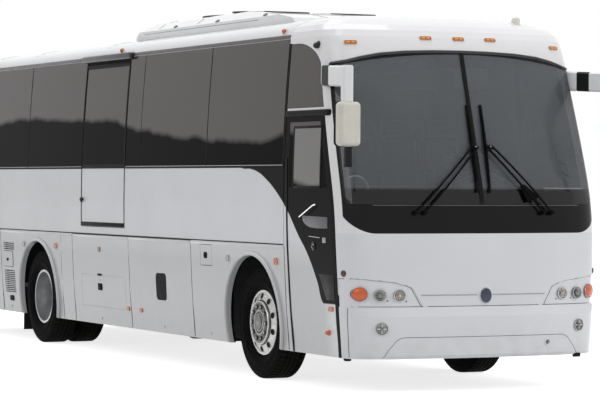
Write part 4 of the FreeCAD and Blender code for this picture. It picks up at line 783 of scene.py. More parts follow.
def makeSideStrips():
    t = sideTrim
    # a dark joint strip that is also the painted shadow line over the flange below it
    bothSides(levelStrip(t["tail"], t["cap"] - 0.02, t["jointZ"], t["jointHeight"], t["jointProud"]),
              "railJointAndShadow",
              rubberSeal)
    belt = [levelStrip(t["tail"], t["liftRear"] + 0.01, t["beltZ"], t["beltHeight"], 0.006, 0.002),
            levelStrip(t["liftFront"] - 0.01, t["cap"] - 0.015, t["beltZ"], t["beltHeight"], 0.006, 0.002)]
    bothSides(joinPieces(belt), "beltSeal", rubberSeal)
    silver = [levelStrip(t["tail"], t["liftRear"] + 0.01, t["silverZ"], t["silverHeight"], 0.004),
              levelStrip(t["liftFront"] - 0.01, t["cap"] + 0.004, t["silverZ"], t["silverHeight"], 0.004)]
    bothSides(joinPieces(silver), "silverLine", satinMetal)
    bothSides(levelStrip(t["tail"], t["cap"], t["gutterZ"], t["gutterHeight"], t["gutterProud"], 0.003),
              "gutterStrip", gutterGrey)
    # the bright rounded flange under the joint, one length on each panel or door
    for name, rear, front, body in (("flangeTail", 9.975, 9.178, "service_door_right"),
                                    ("flangeRear", 9.162, 6.798, "coach"),
                                    ("flangeBay", 6.782, 5.176, "lift_bay_door_right"),
                                    ("flangeLuggage", 5.154, 3.538, "luggage_door_right"),
                                    ("flangeFront", 3.522, 1.412, "coach")):
        strip = levelStrip(rear, front, t["flangeTop"] - t["flangeHeight"], t["flangeHeight"],
                           t["flangeProud"], 0.004)
        finishPiece(strip, name + "Right", whiteBody, body)
        twinBody = {"service_door_right": "service_door_left",
                    "lift_bay_door_right": "rear_luggage_door_left",
                    "luggage_door_right": "luggage_door_left"}.get(body, body)
        mirrorCopy(strip, name + "Left", twinBody)
    finishPiece(uprightStrip(*t["rearSeal"], 2.000, t["sealTop"], t["sealProud"], 0.003), "doorRearSeal",
                rubberSeal)
    low, high = upright(1.352, t["sealLow"], 2.0), upright(1.352, 2.0, 2.02)
    points = [p + Vector((0.052 * (2.0 - p.z) / 1.7, 0, 0)) for p in low]
    finishPiece(ribbon(points + high[-1:], (0.026, 0, 0), 0.014, 0.004), "doorEdgeSeal", rubberSeal,
                "entry_door")


panelJoints = {
    "skins": (3.529, 9.169, 1.390), "thinSkins": (7.157, 6.798), "skinLow": 0.31, "skinTop": 1.236,
    "wide": 0.003, "thin": 0.0025, "doorEdge": (5.160, 5.155, 0.312, 1.228, 0.002),
    "panes": (8.230, 3.155, 1.428), "paneWide": 0.005, "paneLow": 1.955, "paneTop": 3.080,
    "narrowPane": (4.853, 4.847),
}


def makePanelJoints():
    # pressed joints between the fixed skins, and the thin joints between the panes
    v = panelJoints
    skins, panes = [], []
    for back in v["skins"]:
        skins.append(uprightStrip(back + v["wide"], back - v["wide"], v["skinLow"], v["skinTop"], 0.003))
    for back in v["panes"]:
        panes.append(uprightStrip(back + v["paneWide"], back - v["paneWide"], v["paneLow"], v["paneTop"],
                                  0.005))
    panes.append(uprightStrip(*v["narrowPane"], v["paneLow"], v["paneTop"], 0.004))
    for back in v["thinSkins"]:
        skins.append(uprightStrip(back + v["thin"], back - v["thin"], v["skinLow"], v["skinTop"], 0.002))
    finishPiece(skins, "skinJoints", rubberSeal)
    edge = uprightStrip(*v["doorEdge"])
    finishPiece(edge, "luggageDoorEdge", rubberSeal, "luggage_door_right")
    bothSides(joinPieces(panes), "paneJoints", rubberSeal)


makeSideStrips()
makePanelJoints()
print("side strips made")

liftTrim = {"hoodRear": 6.575, "hoodFront": 5.185, "hoodLow": 3.062, "hoodTop": 3.130, "hoodReach": 0.050,
            "knob": (6.452, 1.609), "knobRadius": 0.026, "seal": 0.013, "lowSeal": 0.042}


def makeLiftDoorTrim():
    t, v = sideTrim, liftTrim
    rear, front, low, top = t["liftRear"] - 0.006, t["liftFront"] + 0.006, t["liftLow"], t["liftTop"]
    seals = [uprightStrip(rear, rear - v["seal"], low, top, 0.010, 0.002),
             uprightStrip(front + v["seal"], front, low, top, 0.010, 0.002),
             levelStrip(rear, front, top - v["seal"], v["seal"], 0.010, 0.002),
             levelStrip(rear, front, low, v["lowSeal"], 0.018, 0.004),
             levelStrip(rear - v["seal"], front + v["seal"], t["beltZ"], t["beltHeight"], 0.008, 0.002)]
    finishPiece(seals, "liftDoorSeals", rubberSeal, "lift_door")
    y = widthAt(v["hoodLow"])
    hood = cubeAt((noseX - v["hoodRear"], -y - v["hoodReach"], v["hoodLow"]),
                  (noseX - v["hoodFront"], -y + 0.02, v["hoodTop"]))
    pickEdges(hood, lambda a, b: abs(a.x - b.x) > 1 and min(a.z, b.z) > v["hoodTop"] - 0.001)
    bpy.ops.transform.translate(value=(0, 0.012, 0))  # the top slopes back to shed rain
    endEdit()
    softEdges(hood, 0.020, 5)
    finishPiece(hood, "liftDoorHood", violetGloss)
    knob = lathe([(0, 0.034), (0.016, 0.034), (v["knobRadius"], 0.026), (v["knobRadius"], 0.012),
                  (0.014, 0.008),
                  (0.014, -0.004)], 24)
    onSide(knob, *v["knob"])
    finishPiece(knob, "liftDoorKnob", blackPlastic, "lift_door", 50)


makeLiftDoorTrim()
print("lift door trimmed")

doorTrim = {
    "barZ": 2.411, "barHeight": 0.054, "barRear": 1.372, "barFront": 0.520, "barProud": 0.026,
    "window": (1.214, 0.642, 1.752, 2.300), "frame": 0.022,
    "rail": [(1.020, 1.497), (0.722, 1.611)], "railRadius": 0.0065,
    "plate": (0.571, 1.305, 0.062, 0.046), "lock": (0.782, 1.250), "strip": [(0.870, 1.331), (0.656, 1.323)],
    "low": [(0.690, 1.010), (0.400, 1.010), (0.400, 0.790), (0.560, 0.790)],
    "pocket": [(1.010, 1.512), (0.500, 1.505), (0.500, 1.408), (0.700, 1.405), (0.850, 1.413), (0.930, 1.432),
               (0.985, 1.463)],
}


def skinSpot(back, z, names=("entry_door", "entry_door_glass", "front_cap", "front_panel")):
    return hitOn(names, (noseX - back, -3, z), (0, 1, 0))


def skinShape(places, thick, edge=0.0, proud=0.0):
    # a flat outline laid on the door's skin
    points = [skinSpot(back, z)[0] + Vector((0, -proud, 0)) for back, z in places]
    normal = skinSpot(*places[0])[1]
    return flatShape(points, normal, thick, edge)


def makeEntryDoorTrim():
    v = doorTrim
    steps = 12
    backs = [v["barRear"] + (v["barFront"] - v["barRear"]) * i / steps for i in range(steps + 1)]
    low = v["barZ"] - v["barHeight"] / 2
    line = [skinSpot(back, low)[0] for back in backs[:-1]]
    line.append(line[-1] + (line[-1] - line[-2]) * 0.9)
    bar = ribbon(line, (0, 0.003, v["barHeight"]), v["barProud"] * 2)
    softEdges(bar, 0.018, 4, 40)
    finishPiece(bar, "entryDoorBar", rubberSeal, "entry_door")
    rear, front, lowZ, topZ = v["window"]
    f = v["frame"]
    frameParts = [uprightStrip(rear, rear - f, lowZ, topZ, 0.010, 0.002),
                  uprightStrip(front + f, front, lowZ, topZ, 0.010, 0.002),
                  levelStrip(rear, front, lowZ, f, 0.010, 0.002),
                  levelStrip(rear, front, topZ - f, f, 0.010, 0.002)]
    finishPiece(frameParts, "entryDoorWindowSeal", rubberSeal, "entry_door")
    pane = uprightStrip(rear - f, front + f, lowZ + f, topZ - f, 0.005)
    finishPiece(pane, "entryDoorPane", doorPane, "entry_door")
    start, end = [skinSpot(back, z)[0] for back, z in v["rail"]]
    out = Vector((0, -0.030, 0))
    rail = tube([start, start + out, end + out, end], v["railRadius"], 0.022)
    finishPiece(rail, "entryDoorHandrail", chrome, "entry_door", 60)
    finishPiece(skinShape(v["pocket"], 0.004, 0.001), "entryDoorPocket", greyPanel, "entry_door")
    finishPiece(skinShape(v["low"], 0.003, 0.001), "entryDoorLowPanel", doorLow, "entry_door")
    start, end = [skinSpot(back, z)[0] for back, z in v["strip"]]
    finishPiece(ribbon([start, end], (0, 0, 0.006), 0.010, 0.001), "entryDoorSilverStrip", satinMetal,
                "entry_door")
    back, z, wide, high = v["plate"]
    plate = onSide(roundPlate(wide, high, 0.004, 0.006, 0.001), back, z)
    finishPiece(plate, "entryDoorSmallPlate", smokeLens, "entry_door")
    lock = lathe([(0, 0.016), (0.012, 0.016), (0.014, 0.010), (0.034, 0.008), (0.040, 0.003),
                  (0.040, -0.004)], 28)
    finishPiece(onSide(lock, *v["lock"]), "entryDoorLock", blackGloss, "entry_door", 40)
    lever = onSide(roundPlate(0.052, 0.014, 0.022, 0.006, 0.003), v["lock"][0], v["lock"][1] + 0.004, 0.5)
    finishPiece(lever, "entryDoorLever", satinMetal, "entry_door")


# painted reflection: the door pane is lighter grey above 2.04 m, a painted sky reflection over near black
doorPane = glassTintAndPaintedReflection("doorPanePaintedReflection", (0.23, 0.225, 0.22), 2.04)
doorLow = plainMaterial("doorLowPanel", (0.016, 0.016, 0.017), 0.5, vary=0.1, scale=30, bump=0.05,
                        Specular_IOR_Level=0.15)
makeEntryDoorTrim()
print("entry door trimmed")


# lamps, reflectors and latches on the lower panels
sideLamps = {"width": 0.078, "height": 0.062, "round": 0.028}


def oblongLamp(back, z, width, height, depth=0.016):
    lamp = roundPlate(width, height, depth, min(width, height) * 0.45, depth * 0.4)
    return onSide(lamp, back, z)


def makeSideLamps():
    v = sideLamps
    bases, lenses = [], []
    for back in (7.307, 1.563):
        bases.append(oblongLamp(back, 1.094, v["width"] + 0.016, v["height"] + 0.016, 0.008))
        lenses.append(oblongLamp(back, 1.094, v["width"], v["height"], 0.026))
    lens = joinPieces(lenses)
    finishPiece(lens, "sideMarkersRight", amberLens, "coach", 50)
    mirrorCopy(lens, "sideMarkersLeft")
    greys = []
    for back in (8.358, 2.636):
        bases.append(oblongLamp(back, 1.092, v["width"] + 0.016, v["height"] + 0.016, 0.008))
        greys.append(oblongLamp(back, 1.092, v["width"], v["height"], 0.026))
    grey = joinPieces(greys)
    finishPiece(grey, "greyMarkersRight", smokeLens, "coach", 50)
    mirrorCopy(grey, "greyMarkersLeft")
    base = joinPieces(bases)
    finishPiece(base, "markerBasesRight", warmShell, "coach", 50)
    mirrorCopy(base, "markerBasesLeft")
    finishPiece(oblongLamp(5.990, 1.089, 0.066, 0.050), "bayReflectorRed", redLens, "lift_bay_door_right", 50)
    finishPiece(oblongLamp(5.235, 0.499, 0.070, 0.040), "bayReflectorAmber", amberLens, "lift_bay_door_right",
                50)
    finishPiece(oblongLamp(4.885, 0.499, 0.070, 0.040), "luggageReflectorAmber", amberLens,
                "luggage_door_right", 50)
    finishPiece(oblongLamp(0.478, 0.715, 0.094, 0.042), "doorReflectorAmber", amberLens, "entry_door", 50)
    bead = lathe([(0, 0.040), (0.012, 0.036), (0.017, 0.026), (0.024, 0.008), (0.027, -0.004)], 24)
    finishPiece(onSide(bead, 0.545, 0.508), "doorMarkerAmber", amberLens, "entry_door", 50)


def latchAt(back, z, name, body, wide=0.080, high=0.060):
    cup = roundPlate(wide, high, 0.004, 0.016, 0.001)
    paddle = roundPlate(wide * 0.62, high * 0.54, 0.012, 0.010, 0.003)
    latch = joinPieces([cup, paddle])
    finishPiece(onSide(latch, back, z), name, cupBlack, body, 50)


def makePanelFittings():
    latchAt(3.170, 1.106, "fuelFlapLatch", "fuel_flap")
    latchAt(8.930, 0.900, "tailFlapLatch", "coach")
    latchAt(6.006, 0.694, "bayFlapLatch", "lift_bay_door_right", 0.130, 0.074)
    catch = onSide(roundPlate(0.110, 0.022, 0.008, 0.008, 0.001), 6.004, 0.822)
    finishPiece(catch, "bayFlapCatch", cupBlack, "lift_bay_door_right", 50)
    # the raised flap in the rearmost panel, with its own joint round it
    rim = onSide(roundPlate(0.318, 0.184, 0.0016, 0.030), 8.914, 0.909)
    finishPiece(rim, "tailFlapJoint", rubberSeal)
    flap = onSide(roundPlate(0.306, 0.172, 0.007, 0.026, 0.002), 8.914, 0.909)
    finishPiece(flap, "tailFlap", whiteBody)
    handle = onSide(roundPlate(0.120, 0.060, 0.010, 0.020, 0.003), 8.860, 0.458)
    finishPiece(handle, "tailPanelHandle", cupBlack)
    for i, (back, z, body) in enumerate(((8.890, 0.363, "coach"), (6.012, 0.362, "lift_bay_door_right"),
                                         (3.130, 0.362, "coach"), (6.016, 0.757, "lift_bay_door_right"),
                                         (4.300, 0.362, "luggage_door_right"))):
        screw = lathe([(0, 0.004), (0.006, 0.004), (0.0075, 0.0055), (0.013, 0.003), (0.013, -0.003)], 16)
        finishPiece(onSide(screw, back, z), f"panelScrew{i}", satinMetal, body, 50)
    # a black plate over the recessed cup of the luggage door
    cup = onSide(roundPlate(0.262, 0.262, 0.0015, 0.044), 4.315, 0.760)
    finishPiece(cup, "luggageCupEdge", cupBlack, "luggage_door_right")


makeSideLamps()
makePanelFittings()
print("side lamps and latches made")

archTrim = {"centres": ((3.21, "front"), (-2.59, "rear")), "z": 0.530, "radius": 0.621, "lip": 0.020,
            "proud": 0.012, "low": 0.310}


def makeArchLips():
    v = archTrim
    for x, name in v["centres"]:
        start = math.asin((v["z"] - v["low"]) / v["radius"])
        points = []
        for i in range(37):
            angle = -start + (math.pi + 2 * start) * i / 36
            px = x + v["radius"] * math.cos(angle)
            pz = v["z"] + v["radius"] * math.sin(angle)
            points.append((px, -widthAt(max(pz, 0.3)) - v["proud"], pz))
        lip = tube(points, v["lip"], sides=4)
        finishPiece(lip, name + "ArchLipRight", whiteBody, "coach", 60)
        mirrorCopy(lip, name + "ArchLipLeft")


def makeMudFlaps():
    for x, name, low in ((-3.24, "rear", 0.11), (2.50, "front", 0.30)):
        flap = cubeAt((x - 0.004, -1.19, low), (x + 0.004, -0.62, 0.52))
        pickFaces(flap, lambda face: abs(face.normal.x) > 0.9)
        bpy.ops.mesh.inset(thickness=0.03)
        bpy.ops.transform.resize(value=(0.6, 1, 1))
        endEdit()
        softEdges(flap, 0.0015, 2)
        finishPiece(flap, name + "MudFlapRight", rubberSeal)
        mirrorCopy(flap, name + "MudFlapLeft")


makeArchLips()
makeMudFlaps()
print("arches and mud flaps made")


# lamps of the front: each a bezel, a bowl, a bulb and a lens over the socket in the panel
frontLamps = {
    "turn": (1.140, 0.854, 0.058), "middle": (0.975, 0.842, 0.050), "inner": (0.806, 0.842, 0.050),
    "fog": (0.975, 0.560, 0.050),
}


def lampFace(y, z):
    # the lamp's own face: a ring of rays gives the panel's slope round it
    place, _ = onFront(y, z, "front_lamps")
    across = onFront(y + 0.03, z, "front_lamps")[0] - onFront(y - 0.03, z, "front_lamps")[0]
    normal = across.cross(Vector((0, 0, 1))).normalized()
    return place, normal if normal.x > 0 else -normal


def lampDisc(profile, y, z, steps=40):
    # round as seen from ahead, so it is drawn out across the slope
    place, normal = lampFace(y, z)
    disc = lathe(profile, steps)
    disc.scale.x = 1 / normal.x
    return layOn(disc, place, normal)


def ringProfile(radius, wide, low, high):
    return [(radius, low), (radius + wide * 0.4, high), (radius + wide, high - 0.001),
            (radius + wide * 1.15, low)]


def makeFrontLamps():
    v = frontLamps
    bezels, ambers, bowls, bulbs, lenses, pupils, rims, screws = [], [], [], [], [], [], [], []
    for side in (-1, 1):
        y, z, r = v["turn"]
        ambers.append(lampDisc([(0, 0.018), (r * 0.35, 0.0165), (r * 0.68, 0.012), (r * 0.90, 0.006),
                                (r, -0.002)],
                               side * y, z))
        rims.append(lampDisc(ringProfile(r, 0.004, -0.003, 0.004), side * y, z))
        y, z, r = v["middle"]
        bowls.append(lampDisc([(0, -0.002), (r * 0.5, 0.000), (r * 0.8, 0.004), (r * 0.93, 0.008)], side * y,
                              z))
        pupils.append(lampDisc([(0, 0.017), (r * 0.3, 0.0155), (r * 0.48, 0.009), (r * 0.50, 0.001)],
                               side * y, z))
        rims.append(lampDisc(ringProfile(r * 0.90, 0.007, -0.001, 0.011), side * y, z))
        y, z, r = v["inner"]
        bowls.append(lampDisc([(0, -0.002), (r * 0.4, 0.001), (r * 0.75, 0.004), (r * 0.93, 0.009)], side * y,
                              z))
        bulbs.append(lampDisc([(0, 0.013), (r * 0.20, 0.0115), (r * 0.30, 0.006), (r * 0.31, 0.000)],
                              side * y, z))
        bezels.append(lampDisc(ringProfile(r * 0.95, 0.004, -0.001, 0.009), side * y, z))
        lenses.append(lampDisc([(0, 0.017), (r * 0.5, 0.0155), (r * 0.92, 0.010), (r * 0.93, 0.007),
                                (r * 0.5, 0.0125),
                                (0, 0.014)], side * y, z))
        y, z, r = v["fog"]
        bowls.append(lampDisc([(0, -0.002), (r * 0.4, 0.000), (r * 0.75, 0.003), (r * 0.90, 0.007)], side * y,
                              z))
        rims.append(lampDisc(ringProfile(r * 0.92, 0.008, -0.001, 0.009), side * y, z))
        place, normal = lampFace(side * y, z)
        for turn in (0, math.pi / 2):
            bar = roundPlate(r * 1.7, 0.009, 0.009, 0.003, 0.002)
            rims.append(layOn(bar, place, normal, turn))
        pupils.append(lampDisc([(0, 0.012), (0.010, 0.012), (0.014, 0.009), (0.014, 0.001)], side * y, z, 24))
        for screwY, screwZ in ((0.907, 0.796), (0.742, 0.790)):
            spot, facing = onFront(side * screwY, screwZ, "front_panel")
            screws.append(layOn(lathe([(0, 0.003), (0.004, 0.003), (0.007, 0.001), (0.007, -0.003)], 12),
                                spot, facing))
    finishPiece(ambers, "turnLamps", turnAmber, "coach", 60)
    bowl = finishPiece(bowls, "lampBowls", headBowl, "coach", 60)
    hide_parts("front_lamps")
    finishPiece(pupils, "lampPupils", projectorGlass, "coach", 60)
    finishPiece(bulbs, "lampBulbs", bulbAmber, "coach", 60)
    finishPiece(lenses, "lampLenses", lensGlass, "coach", 60)
    finishPiece(rims, "lampRims", satinMetal, "coach", 60)
    finishPiece(bezels, "lampBezels", chrome, "coach", 60)
    finishPiece(screws, "lampScrews", darkBowl, "coach", 60)


turnAmber = plainMaterial("turnLampAmber", (0.78, 0.105, 0.004), 0.18, vary=0.2, scale=60, bump=0.25,
                          Coat_Weight=0.3)
bulbAmber = plainMaterial("bulbAmber", (0.85, 0.45, 0.25), 0.2, vary=0.3, scale=60, bump=0.2, Coat_Weight=0.4)
headBowl = lampReflector("flutedHeadlampBowl", (0.20, 0.195, 0.185))
projectorGlass = plainMaterial("projectorGlass", (0.16, 0.17, 0.18), 0.08, metallic=0.6, vary=0.3, scale=30,
                               bump=0.05,
                               Coat_Weight=0.8)
makeFrontLamps()
print("front lamps made")

# joints, creases and small things on the front
frontTrim = {
    "lampEdge": [(0.607, 0.747), (0.655, 0.829), (0.700, 0.905), (0.745, 0.927), (0.850, 0.953),
                 (0.976, 0.968),
                 (1.070, 0.977), (1.150, 0.983), (1.195, 0.984)],
    "crease": (0.075, 0.610, 0.8445), "creaseReach": 0.0045,
    "skirt": [(0.960, 0.312), (0.940, 0.333), (0.918, 0.372), (0.843, 0.459), (0.812, 0.476), (0.775, 0.484)],
    "disc": (0.006, 0.834, 0.060), "cornerSeam": (0.221, 0.312, 0.735),
}


def frontLine(places, lift=0.0):
    points = []
    for y, z in places:
        place, normal = onFront(y, z, "front_panel", "front_bumper")
        points.append(place + normal * lift)
    return points


def makeFrontJoints():
    v = frontTrim
    joints = []
    for side in (-1, 1):
        edge = frontLine([(side * y, z) for y, z in v["lampEdge"]])
        for back in (0.09, 0.15, 0.21, 0.27, 0.322):
            place, _ = hitOn(("front_panel",), (noseX - back, side * 3, 0.983), (0, -side, 0))
            if place and place.x < edge[-1].x - 0.01:
                edge.append(place)
        joints.append(tube(edge, 0.0026, sides=1))
        joints.append(tube(frontLine([(side * y, z) for y, z in v["skirt"]]), 0.0024, sides=1))
    top = [(y / 20 * v["skirt"][-1][0], v["skirt"][-1][1]) for y in range(-20, 21)]
    joints.append(tube(frontLine(top), 0.0024, sides=1))
    seam = [(-1.19 + 2.38 * i / 40, 0.7455) for i in range(41)]
    joints.append(tube([onFront(y, z, "front_panel")[0] for y, z in seam], 0.0026, sides=1))
    finishPiece(joints, "frontJoints", jointShade)
    # two shallow creases run into the step round the disc
    inner, outer, z = v["crease"]
    for side, name in ((-1, "Right"), (1, "Left")):
        places = [(side * (inner + (outer - inner) * i / 16), z - 0.006) for i in range(17)]
        line = frontLine(places)
        crease = ribbon(line, (0.001, 0, 0.008), v["creaseReach"] * 2, 0.002)
        finishPiece(crease, "frontCrease" + name, creaseShade)
    y, z, r = v["disc"]
    place, normal = onFront(y, z, "front_panel")
    step = lathe([(0, 0.003), (r * 1.10, 0.003), (r * 1.22, 0.0015), (r * 1.30, -0.002)], 48)
    step.scale.y = 1.14
    layOn(step, place, normal)
    finishPiece(step, "frontDiscStep", whiteBody, "coach", 60)
    disc = lathe([(0, 0.012), (r * 0.6, 0.011), (r * 0.88, 0.008), (r * 0.94, 0.006), (r * 0.94, 0.001)], 48)
    disc.scale.y = 1.14
    layOn(disc, place, normal)
    finishPiece(disc, "frontDisc", discMetal, "coach", 60)
    ring = lathe([(r * 0.90, 0.006), (r * 0.92, 0.010), (r * 0.98, 0.010), (r * 1.01, 0.007),
                  (r * 1.02, 0.001)], 48)
    ring.scale.y = 1.14
    layOn(ring, place, normal)
    finishPiece(ring, "frontDiscRing", satinMetal, "coach", 60)


def makeCornerPieces():
    v = frontTrim
    back, low, high = v["cornerSeam"]
    for side, name in ((-1, "Right"), (1, "Left")):
        points = []
        for i in range(9):
            z = low + (high - low) * i / 8
            place, _ = hitOn(("front_bumper",), (noseX - back - 0.006 * (1 - i / 8), side * 3, z),
                             (0, -side, 0))
            points.append(place)
        finishPiece(tube(points, 0.0035, sides=1), "cornerSeam" + name, jointShade)
    # the rubber foot under the corner and the round dark-red reflector above it
    foot = cubeAt((noseX - 0.325, -1.205, 0.276), (noseX - 0.265, -1.150, 0.312), 0.012, 3)
    finishPiece(foot, "cornerFoot", rubberSeal)
    for side, name in ((-1, "Right"), (1, "Left")):
        place, normal = hitOn(("front_panel",), (noseX - 0.255, side * 3, 1.028), (0, -side, 0))
        lamp = lathe([(0, 0.014), (0.018, 0.012), (0.027, 0.006), (0.029, -0.004)], 28)
        finishPiece(layOn(lamp, place, normal), "cornerReflector" + name, darkRedLens, "coach", 60)
        for z in (0.918, 0.818):
            place, normal = hitOn(("front_panel",), (noseX - 0.318, side * 3, z), (0, -side, 0))
            screw = lathe([(0, 0.003), (0.007, 0.003), (0.009, -0.002)], 12)
            finishPiece(layOn(screw, place, normal), f"cornerScrew{name}{int(z * 1000)}", satinMetal, "coach",
                        60)
    eye = layOn(lathe([(0.0185, 0.003), (0.022, 0.008), (0.029, 0.008), (0.032, -0.004)], 32),
                *onFront(0.620, 0.420 + 0.028, "front_bumper"))
    eye.location.z -= 0.028
    finishPiece(eye, "towSocketRim", whiteBody, "coach", 60)
    hook = cubeAt((noseX - 0.075, 0.925, 0.276), (noseX - 0.045, 1.000, 0.312), 0.010, 3)
    finishPiece(hook, "jackFoot", rubberSeal)


jointShade = plainMaterial("jointShade", (0.09, 0.09, 0.095), 0.6, vary=0.1, scale=40, bump=0.05)
creaseShade = plainMaterial("creaseShade", (0.40, 0.405, 0.41), 0.5, vary=0.06, scale=20, bump=0.02)
discMetal = plainMaterial("blankDisc", (0.05, 0.055, 0.09), 0.25, metallic=0.4, vary=0.2, scale=60, bump=0.1)
darkRedLens = plainMaterial("darkRedLens", (0.075, 0.008, 0.008), 0.2, vary=0.3, scale=90, bump=0.2)
makeFrontJoints()
makeCornerPieces()
print("front joints and corners made")

# amber clearance lamps: five on the cap, two on the roof's edge
clearance = {"cap": [(-1.018, 3.020), (-0.323, 3.0695), (0.0, 3.0695), (0.323, 3.0695), (1.018, 3.020)],
             "width": 0.108, "height": 0.032, "rise": 0.020, "roofBacks": (1.590, 5.560), "roofZ": 3.156}


def makeClearanceLamps():
    v = clearance
    bases, lenses, beads = [], [], []
    for y, z in v["cap"]:
        place, normal = onFront(y, z, "front_cap", "roof")
        left = onFront(y + 0.03, z, "front_cap")[0]
        right = onFront(y - 0.03, z, "front_cap")[0]
        up = onFront(y, z + 0.012, "front_cap")[0] - onFront(y, z - 0.012, "front_cap")[0]
        normal = (left - right).cross(up).normalized()
        normal = normal if normal.x > 0 else -normal
        if normal.x < 0.35:
            normal = Vector((0.80, 0, 0.60))
        bases.append(layOn(roundPlate(v["width"] + 0.014, v["height"] + 0.012, 0.005, 0.014, 0.002), place,
                           normal))
        lenses.append(layOn(roundPlate(v["width"], v["height"], v["rise"], 0.011, 0.006), place, normal))
        for shift in (-0.022, 0.024):
            bead = layOn(roundPlate(0.030, 0.016, v["rise"] + 0.002, 0.007, 0.003), place, normal)
            bead.location += (left - right).normalized() * shift
            beads.append(bead)
            applyAll(bead)
    for back in v["roofBacks"]:
        place, normal = hitOn(("roof",), (noseX - back, -3, v["roofZ"]), (0, 1, 0))
        bases.append(layOn(roundPlate(0.090, 0.050, 0.006, 0.020, 0.002), place, normal))
        dome = layOn(lathe([(0, 0.034), (0.012, 0.032), (0.020, 0.024), (0.024, 0.012), (0.025, 0)], 24),
                     place, normal)
        lenses.append(dome)
        twinPlace, twinNormal = hitOn(("roof",), (noseX - back, 3, v["roofZ"]), (0, -1, 0))
        bases.append(layOn(roundPlate(0.090, 0.050, 0.006, 0.020, 0.002), twinPlace, twinNormal))
        lenses.append(layOn(lathe([(0, 0.034), (0.012, 0.032), (0.020, 0.024), (0.024, 0.012), (0.025, 0)],
                                  24),
                            twinPlace, twinNormal))
    finishPiece(bases, "clearanceBases", warmShell, "coach", 50)
    lens = finishPiece(lenses, "clearanceLenses", clearanceAmber, "coach", 50)
    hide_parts("marker_lamps")
    finishPiece(beads, "clearanceBulbs", amberBead, "coach", 50)


clearanceAmber = plainMaterial("clearanceAmber", (0.62, 0.13, 0.012), 0.2, vary=0.35, scale=60, bump=0.3,
                               Coat_Weight=0.3)
makeClearanceLamps()
print("clearance lamps made")

# screen edges and the pantograph wipers
screenTrim = {
    "top": [(1.187, 2.847), (1.100, 2.862), (0.954, 2.901), (0.785, 2.934), (0.554, 2.955), (0.28, 2.965),
            (0.0, 2.968)],
    "topReach": 0.015, "lineZ": 1.612, "lineHalf": 1.02,
}


def makeScreenEdges():
    v = screenTrim
    places = [(-y, z) for y, z in v["top"]] + [(y, z) for y, z in reversed(v["top"][:-1])]
    fine = []
    for (startY, startZ), (endY, endZ) in zip(places, places[1:]):
        for i in range(5):
            share = i / 5
            fine.append((startY + (endY - startY) * share, startZ + (endZ - startZ) * share))
    points = [onFront(y, z - 0.012, "windscreen_frame", "windscreen", "front_cap")[0] for y, z in fine]
    finishPiece(tube(points, v["topReach"], sides=2), "screenTopMoulding", violetGloss, "coach", 60)
    line = [(-v["lineHalf"] + 2 * v["lineHalf"] * i / 40, v["lineZ"]) for i in range(41)]
    points = [onFront(y, z, "windscreen_frame", "windscreen")[0] for y, z in line]
    finishPiece(tube(points, 0.0035, sides=1), "screenLowerLine", greyPanel, "coach", 60)
    centre = [(0.0, 1.63 + (2.95 - 1.63) * i / 20) for i in range(21)]
    points = [onFront(y - 0.020, z, "windscreen_frame", "windscreen")[0] for y, z in centre]
    strip = ribbon(points, (0, 0.040, 0), 0.016)
    softEdges(strip, 0.005, 3, 40)
    finishPiece(strip, "screenCentreSeal", rubberSeal)


wiperForm = {
    "pivots": ((-0.655, 1.545), (-0.575, 1.545), (0.690, 1.545), (0.600, 1.545)),
    "heads": ((-0.030, 2.128), (-0.010, 2.092), (0.150, 2.130), (0.120, 2.094)),
    "blades": (((-0.040, 2.486), (-0.060, 1.720)), ((0.098, 2.488), (0.068, 1.720))),
    "lift": 0.030, "rod": 0.009, "bladeHalf": 0.013,
}


def overScreen(y, z, lift):
    place, normal = onFront(y, z, "windscreen", "windscreen_frame", "front_panel")
    return place + Vector((lift, 0, lift * 0.2))


def makeWipers():
    v = wiperForm
    arms = []
    for (pivotY, pivotZ), (headY, headZ) in zip(v["pivots"], v["heads"]):
        points = []
        for i in range(9):
            share = i / 8
            reach = v["lift"] + 0.012 * math.sin(math.pi * share)
            points.append(overScreen(pivotY + (headY - pivotY) * share, pivotZ + (headZ - pivotZ) * share,
                                     reach))
        arms.append(tube(points, v["rod"], sides=3))
        hub = layOn(lathe([(0, 0.030), (0.012, 0.029), (0.017, 0.022), (0.019, 0.0), (0.024, -0.030)], 20),
                    points[0],
                    (1, 0, 0.1))
        arms.append(hub)
    for (topY, topZ), (lowY, lowZ) in v["blades"]:
        line = [overScreen(topY + (lowY - topY) * i / 10, topZ + (lowZ - topZ) * i / 10,
                           0.008) for i in range(11)]
        blade = ribbon(line, (0, v["bladeHalf"] * 2, 0), 0.012, 0.003)
        arms.append(blade)
        bridge = [overScreen(topY + (lowY - topY) * s, topZ + (lowZ - topZ) * s,
                             0.020 + 0.016 * (1 - abs(2 * s - 1)))
                  for s in (0.12, 0.3, 0.5, 0.7, 0.88)]
        arms.append(tube([p + Vector((0, v["bladeHalf"], 0)) for p in bridge], 0.007, sides=2))
    for a, b in (((-0.055, 2.120), (0.010, 2.104)), ((0.085, 2.122), (0.160, 2.104))):
        head = tube([overScreen(*a, 0.036), overScreen(*b, 0.036)], 0.016, sides=3)
        arms.append(head)
    wipers = finishPiece(arms, "wiperSets", wiperBlack, "coach", 50)
    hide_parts("wipers")
    cover = flatShape([overScreen(y, z, 0.024) for y, z in ((0.385, 1.775), (0.430, 1.790), (0.560, 1.680),
                                                           (0.530, 1.650), (0.440, 1.640))], (1, 0, 0.2),
                                                           0.012, 0.004)
    finishPiece(cover, "wiperArmCover", wiperBlack, "coach", 40)
    pins = [layOn(lathe([(0, 0.004), (0.006, 0.003), (0.007, -0.01)], 16), overScreen(y, z, 0.052),
                  (1, 0, 0.2))
            for y, z in ((-0.018, 2.112), (0.130, 2.114))]
    finishPiece(pins, "wiperPins", satinMetal, "coach", 50)


